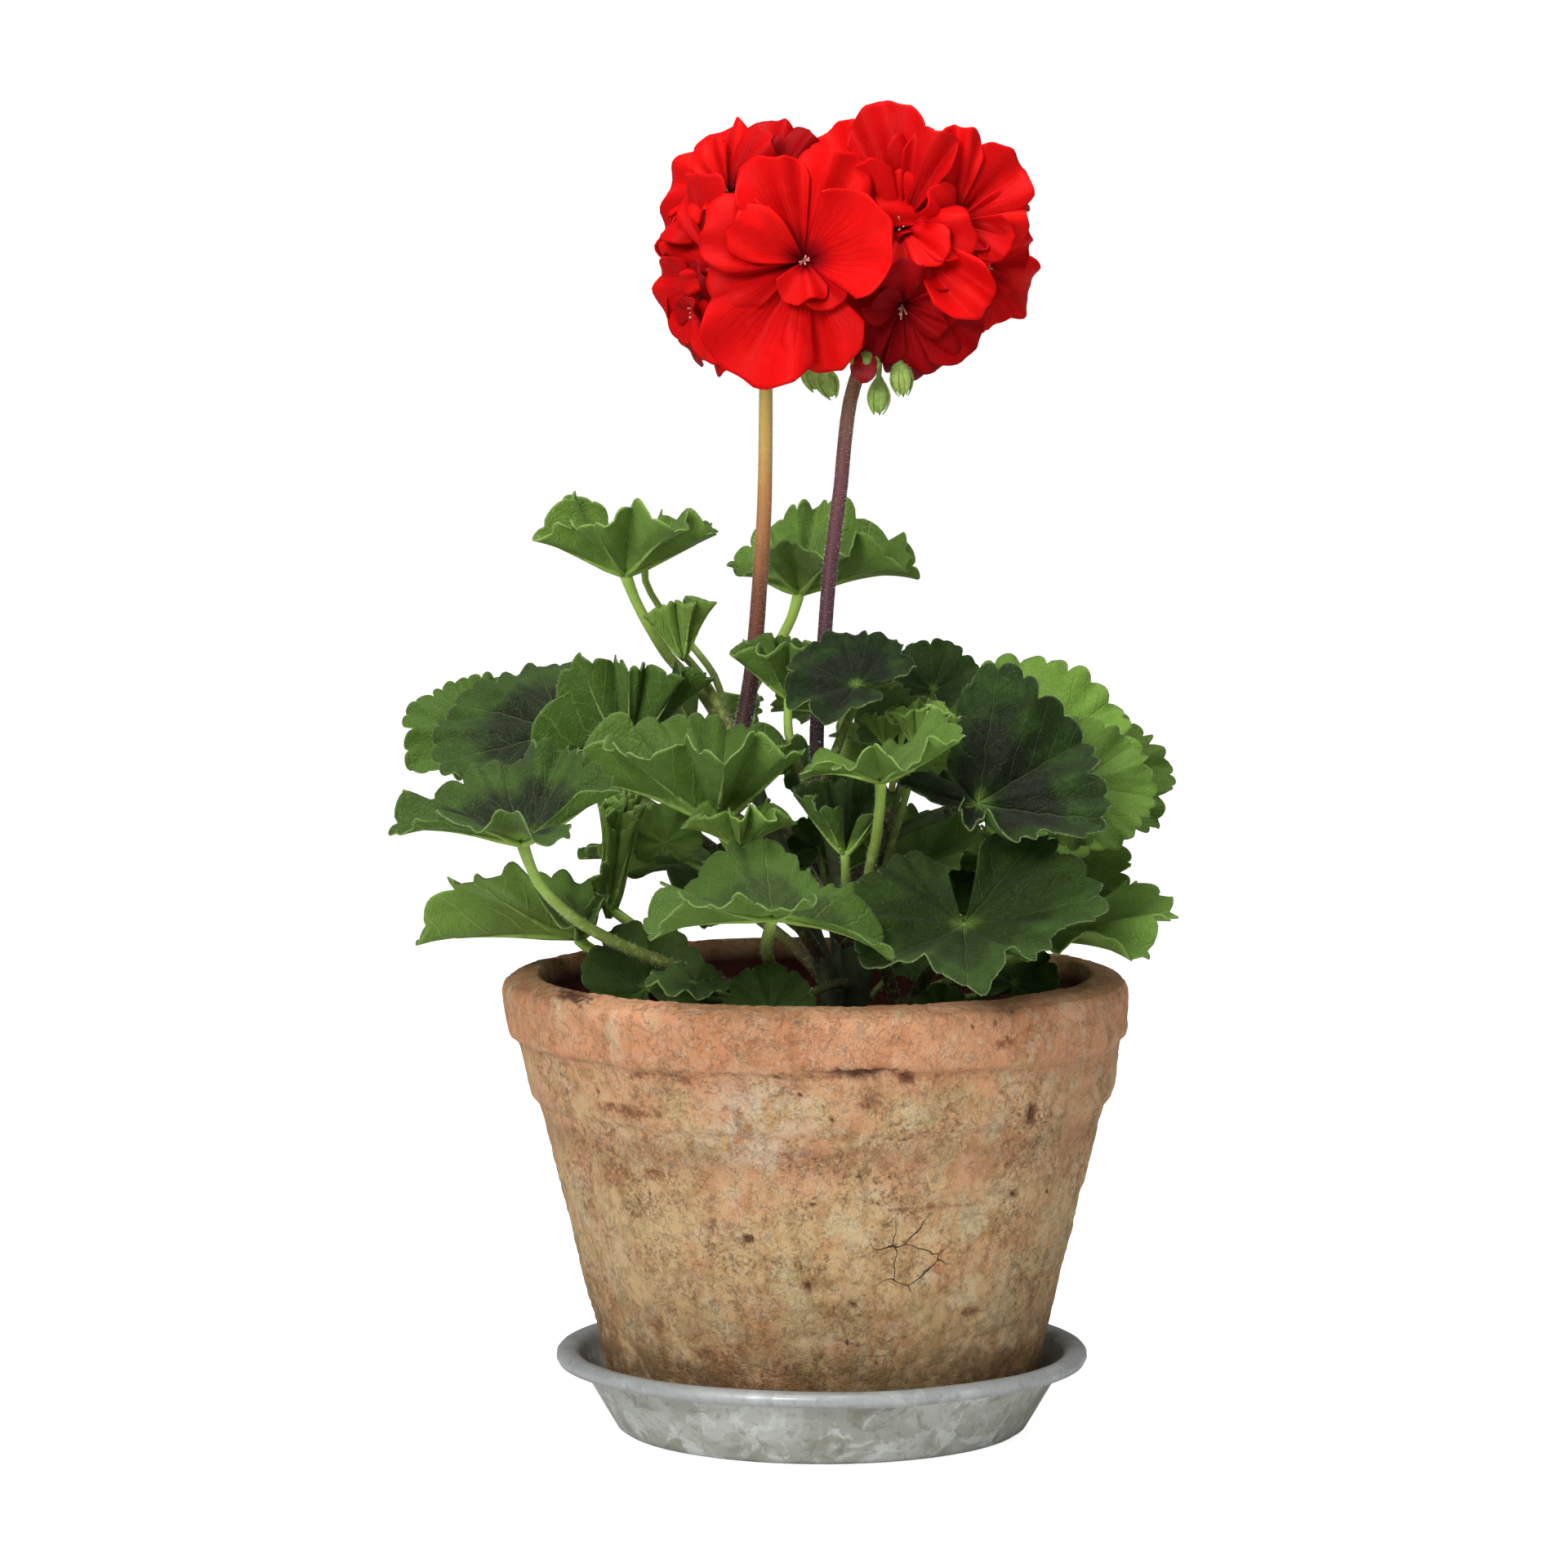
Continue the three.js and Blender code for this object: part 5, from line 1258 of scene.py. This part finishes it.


# scarlet petals: thin and silky, with fine dark veins that run out from the claw, which is painted dark as
# the shade deep in the throat; light comes through
def scarletPetal():
    material, tree, shader = newMaterial("scarletPetal", Roughness=0.5, IOR=1.38, Specular_IOR_Level=0.07)
    spot = addNode(tree, "ShaderNodeAttribute", output=1, attribute_name="spot")
    side, share, depth = (addNode(tree, "ShaderNodeSeparateXYZ", {0: spot}, k) for k in range(3))
    place = addNode(tree, "ShaderNodeTexCoord", output=3)
    drift = addNode(tree, "ShaderNodeTexNoise", {"Vector": place, "Scale": 1 / (6 * mm), "Detail": 3})
    sway = addNode(tree, "ShaderNodeMath", {0: drift, 1: 0.5}, operation="SUBTRACT")
    fan = addNode(tree, "ShaderNodeMath", {0: sway, 1: 0.22, 2: side}, operation="MULTIPLY_ADD")
    fan = addNode(tree, "ShaderNodeMath", {0: fan, 1: 7.0, 2: 0.5}, operation="MULTIPLY_ADD")
    gap = addNode(tree, "ShaderNodeMath", {0: fan, 1: 0.5}, operation="PINGPONG")
    veins = showing(tree, (gap, 0.16, 0.02), (share, 1.0, 0.35))
    colour = layCoats(tree, "#d50c0d", [
        ("#e62015", (drift, 0.45, 0.75, 0.35)),
        # a random darker tone, and painted shade on shaded florets
        ("#7d040b", depth, 0.95),
        ("#8c0610", veins, 0.4),
        # painted shade: darker towards the claw, deep in the throat
        ("#58030e", (share, 0.42, 0.08, 0.9)),
    ])
    tree.links.new(colour, shader.inputs["Base Color"])
    silk = addNode(tree, "ShaderNodeTexNoise", {"Vector": place, "Scale": 1 / (1.1 * mm), "Detail": 3})
    relief = addNode(tree, "ShaderNodeMath", {0: silk, 1: 0.4}, operation="MULTIPLY")
    relief = addNode(tree, "ShaderNodeMath", {0: veins, 1: -0.6, 2: relief}, operation="MULTIPLY_ADD")
    bump = addNode(tree, "ShaderNodeBump", {"Strength": 0.35, "Distance": 0.0005, "Height": relief})
    tree.links.new(bump, shader.inputs["Normal"])
    glow = addNode(tree, "ShaderNodeBsdfTranslucent", {"Color": colour, "Normal": bump})
    both = addNode(tree, "ShaderNodeMixShader", {0: 0.2, 1: shader.outputs[0], 2: glow})
    tree.links.new(both, tree.nodes["Material Output"].inputs["Surface"])
    return material


# soft plant skin of one colour, mottled with a darker shade of it
def plainSkin(name, colour, roughness):
    material, tree, shader = newMaterial(name, Roughness=roughness, Specular_IOR_Level=0.3,
                                         Subsurface_Weight=0.1, Subsurface_Scale=0.002)
    place = addNode(tree, "ShaderNodeTexCoord", output=3)
    drift = addNode(tree, "ShaderNodeTexNoise", {"Vector": place, "Scale": 1 / (1.6 * mm), "Detail": 4})
    darker = addNode(tree, "ShaderNodeHueSaturation", {"Value": 0.6, "Color": linear(colour)})
    mixed = layCoats(tree, colour, [(darker, (drift, 0.4, 0.7, 0.7))])
    tree.links.new(mixed, shader.inputs["Base Color"])
    bump = addNode(tree, "ShaderNodeBump", {"Strength": 0.3, "Distance": 0.0003, "Height": drift})
    tree.links.new(bump, shader.inputs["Normal"])
    return material


# a ball stretched along a direction, for buds, anthers and the heart of a head
def ballShape(centre, direction, radius, length, rows=8, columns=10):
    direction = unit(direction)
    turns = math.pi * (np.linspace(0.04, 0.96, rows) - 0.5)
    path = [centre + direction * length * math.sin(t) for t in turns]
    return tubeShape(path, [radius * math.cos(t) for t in turns], columns)[:2]


# a narrow pointed green leaf that lies along a bud or behind a floret
def sepalShape(base, direction, outward, length, width, hug):
    share = np.linspace(0, 1, sepals["steps"])[:, None]
    side = np.linspace(-1, 1, sepals["columns"])[None, :]
    across = np.cross(direction, outward)
    half = width * np.sin(math.pi * (0.12 + 0.88 * share) ** 0.8) + 0.05
    swell = hug * np.sin(math.pi * share * 0.9) - 0.35 * half * side ** 2
    grid = (base + direction * (length * share)[..., None] + across * (half * side)[..., None]
            + outward * (swell + 0.4)[..., None])
    return thinSheet(grid, sepals["thickness"])


# one flower head: a heart painted in the petals' darkest red as the shade between florets and, round it, the
# florets with their petals, necks and stamens
def makeHead(name, head, seed, petalFinish, stamenFinish, greenFinish):
    draws = seededRandom(seed)
    luck = random.Random(seed)
    made = Gathering()
    centre = np.array(head["centre"], dtype=float)
    heart = head["heart"]
    points, faces = ballShape(centre, (0, 0, 1), heart, heart, 12, 18)
    # painted shade: the heart takes the darkest petal red, where the florets meet
    made.add(points, faces, 0, spot=np.tile((0.0, 0.1, 1.0), (len(points), 1)))
    for floret in head["florets"]:
        throat = np.array(floret["at"], dtype=float)
        facing = heading(*floret["facing"])
        shade = floret.get("shade", 0) * 0.8
        rows = floret.get("petals") or [[35 + 90 * i, floret["size"], 38, 16] for i in range(4)]
        for row in rows:
            phase, waviness = next(draws), next(draws)
            points, faces, flat, spot = petalShape(throat, facing, row, phase, waviness, shade, luck)
            made.add(points, faces, 0, flat, spot=spot)
        longest = max(row[1] for row in rows)
        turn, count = luck.uniform(0, 360), petalForm["innerPetals"]
        drawn = [[turn + i * 360 / count + luck.uniform(-20, 20), longest * luck.uniform(0.45, 0.68),
                  luck.uniform(24, 36), luck.uniform(38, 66)] for i in range(count)]
        for row in floret.get("inner") or drawn:
            phase, waviness = luck.random(), luck.random()
            points, faces, flat, spot = petalShape(throat, facing, row, phase, waviness, shade, luck)
            made.add(points, faces, 0, flat, spot=spot)
        neck = smoothPath([centre, (centre + throat) / 2 + facing * 1.5, throat - facing * 1.2], 8)
        points, faces, _ = tubeShape(neck, np.linspace(1.0, 1.3, len(neck)), 8)
        made.add(points, faces, 2)
        for i in range(stamens["count"]):
            lean = heading(luck.uniform(0, 360), luck.uniform(-90, 90)) * stamens["lean"]
            root = throat + facing * 0.5
            tip = root + unit(facing + lean) * stamens["length"] * luck.uniform(0.7, 1.1)
            thread = smoothPath([root, (root + tip) / 2 + facing * 0.6, tip], 5)
            points, faces, _ = tubeShape(thread, [stamens["radius"]] * len(thread), 5)
            made.add(points, faces, 1)
            made.add(*ballShape(tip, lean + facing, stamens["tip"] * 0.5, stamens["tip"], 5, 6), 1)
    settle(made.build(name + "_fine", [petalFinish, stamenFinish, greenFinish]), slotOf[name], name)


# radii of the stalk at the shoot and at the head; an opened bud shows its red petals
flowerStalk = {"radii": {"left": (2.35, 1.7), "right": (1.95, 1.9)}, "steps": 80, "sides": 16, "fork": 0.93}
buds = {
    "length": 5.5, "radius": 2.9, "stemRadius": 0.75, "stemSteps": 14, "stemSides": 8, "sepals": 5,
    "sepalWidth": 1.25, "closed": {"swell": 0.95, "sepal": 10.2}, "open": {"swell": 1.3, "sepal": 7.4},
    "opened": {"left": [], "right": [0]},
}


# the long flower stalk: fleshy and downy, ochre green near the flowers, brown or purple towards the shoot
def flowerStalkSkin(name, foot, bands):
    material, tree, shader = newMaterial(name, Roughness=0.55, Specular_IOR_Level=0.25)
    along = addNode(tree, "ShaderNodeAttribute", output=1, attribute_name="along")
    run = addNode(tree, "ShaderNodeSeparateXYZ", {0: along}, 0)
    place = addNode(tree, "ShaderNodeTexCoord", output=3)
    stretched = addNode(tree, "ShaderNodeMapping", {0: place, 3: (1.0, 1.0, 0.15)})
    streaks = addNode(tree, "ShaderNodeTexNoise", {"Vector": stretched, "Scale": 1 / (1.2 * mm), "Detail": 3})
    lift = addNode(tree, "ShaderNodeMath", {0: streaks, 1: 0.16, 2: run}, operation="MULTIPLY_ADD")
    lift = addNode(tree, "ShaderNodeMath", {0: lift, 1: 0.08}, operation="SUBTRACT")
    coats = [(colour, (lift, low, high)) for colour, low, high in bands]
    tree.links.new(layCoats(tree, foot, coats), shader.inputs["Base Color"])
    bump = addNode(tree, "ShaderNodeBump", {"Strength": 0.3, "Distance": 0.0003, "Height": streaks})
    tree.links.new(bump, shader.inputs["Normal"])
    return material


def makeFlowerStalk(side, head, skin, green, red):
    made = Gathering()
    path = smoothPath([shootPoint(*head["shoot"]), *head["stalk"]], flowerStalk["steps"])
    low, high = flowerStalk["radii"][side]
    radii = low + (high - low) * np.linspace(0, 1, len(path))
    points, faces, along = tubeShape(path, radii, flowerStalk["sides"])
    made.add(points, faces, 0, along=np.stack([along] * 3, axis=1))
    hairy["flowerStalks"].add(points, faces)
    fork = path[round(flowerStalk["fork"] * flowerStalk["steps"])]
    for number, bud in enumerate(head["buds"]):
        bud = np.array(bud, dtype=float)
        neck = bud + (fork - bud) * 0.25 + np.array([0, 0, 3.0])
        stem = smoothPath([fork, neck, bud + np.array([0, 0, 4.0])], buds["stemSteps"])
        points, faces, _ = tubeShape(stem, [buds["stemRadius"]] * len(stem), buds["stemSides"])
        made.add(points, faces, 1)
        hairy["buds"].add(points, faces)
        hang = unit(bud - neck + np.array([0, 0, -4.0]))
        opened = number in buds["opened"][side]
        form = buds["open" if opened else "closed"]
        radius = buds["radius"] * form["swell"]
        made.add(*ballShape(bud, hang, radius, buds["length"] * 0.85, 10, 14), 2 if opened else 1)
        first = unit(np.cross(hang, (0.2, 1.0, 0.1)))
        base = bud - hang * buds["length"] * 0.92
        for i in range(buds["sepals"]):
            turn = 2 * math.pi * i / buds["sepals"] + number
            outward = first * math.cos(turn) + np.cross(hang, first) * math.sin(turn)
            points, faces, flat = sepalShape(base, hang, outward, form["sepal"], buds["sepalWidth"], radius)
            made.add(points, faces, 1, flat)
            hairy["buds"].add(points, faces)
    name = "flower_stalk_" + side
    settle(made.build(name + "_fine", [skin, green, red]), slotOf[name], name)


def makeFlowers():
    petal = scarletPetal()
    anther = plainSkin("pinkAnther", "#dc938c", 0.5)
    green = plainSkin("sepalGreen", "#8fac50", 0.55)
    budRed = plainSkin("budRed", "#a00c18", 0.45)
    makeHead("flower_head_left", heads["left"], 11, petal, anther, green)
    makeHead("flower_head_right", heads["right"], 12, petal, anther, green)
    ochre = flowerStalkSkin("ochreFlowerStalk", "#3a2322", [
        ("#6d3f30", 0.1, 0.3), ("#a97446", 0.3, 0.55), ("#c0a257", 0.5, 0.8), ("#bcb05c", 0.75, 0.95),
    ])
    purple = flowerStalkSkin("purpleFlowerStalk", "#2e1b1f", [
        ("#4b2a33", 0.12, 0.35), ("#63383c", 0.35, 0.62), ("#7d5a44", 0.6, 0.8), ("#9b9450", 0.78, 0.92),
    ])
    makeFlowerStalk("left", heads["left"], ochre, green, budRed)
    makeFlowerStalk("right", heads["right"], purple, green, budRed)
    print("flowers ready")


makeFlowers()


# Real hairs are about 0.03 mm thick. These are twice as thick, because finer ones would not show. Densities
# are per square millimetre.
hairs = {
    "leafStalks": {"Density": 0.8, "Length": 0.8, "Radius": 0.03, "Tilt": 0.5, "Seed": 1},
    "leafRims": {"Density": 3.0, "Length": 0.55, "Radius": 0.022, "Tilt": 0.7, "Seed": 2},
    "flowerStalks": {"Density": 2.4, "Length": 0.7, "Radius": 0.03, "Tilt": 0.5, "Seed": 3},
    "buds": {"Density": 2.4, "Length": 0.7, "Radius": 0.03, "Tilt": 0.5, "Seed": 4},
}
hairsOn = {"leafStalks": "leaf_front", "leafRims": "leaf_front", "flowerStalks": "flower_stalk_right",
           "buds": "flower_stalk_left"}


# short soft hairs of the skin: colourless, so they show as a pale edge against the light
def paleHair():
    material, _, shader = newMaterial("paleHair", Roughness=0.5)
    shader.inputs["Base Color"].default_value = linear("#dfe6cf")
    return material


def hairShape(tree, given):
    return addNode(tree, "GeometryNodeMeshCone", {"Vertices": 3, "Radius Top": 0.0, "Depth": given["Length"],
                                                  "Radius Bottom": given["Radius"]}, fill_type="NONE")


# the hairs of all leaf stalks, leaf rims, flower stalks and buds, one mesh for each kind
def growHairs(finish):
    for name, gathered in hairy.items():
        ground = gathered.build(name + "Ground", [])
        settings = dict(hairs[name])
        settings["Density"] *= 1 / (mm * mm)
        settings["Length"] *= mm
        settings["Radius"] *= mm
        piece = scatter(name + "Hairs", ground, finish, settings, hairShape)
        bpy.data.objects.remove(ground)
        settle(piece, slotOf[hairsOn[name]])
        print(name, "hairs:", len(piece.data.polygons), "faces")


growHairs(paleHair())
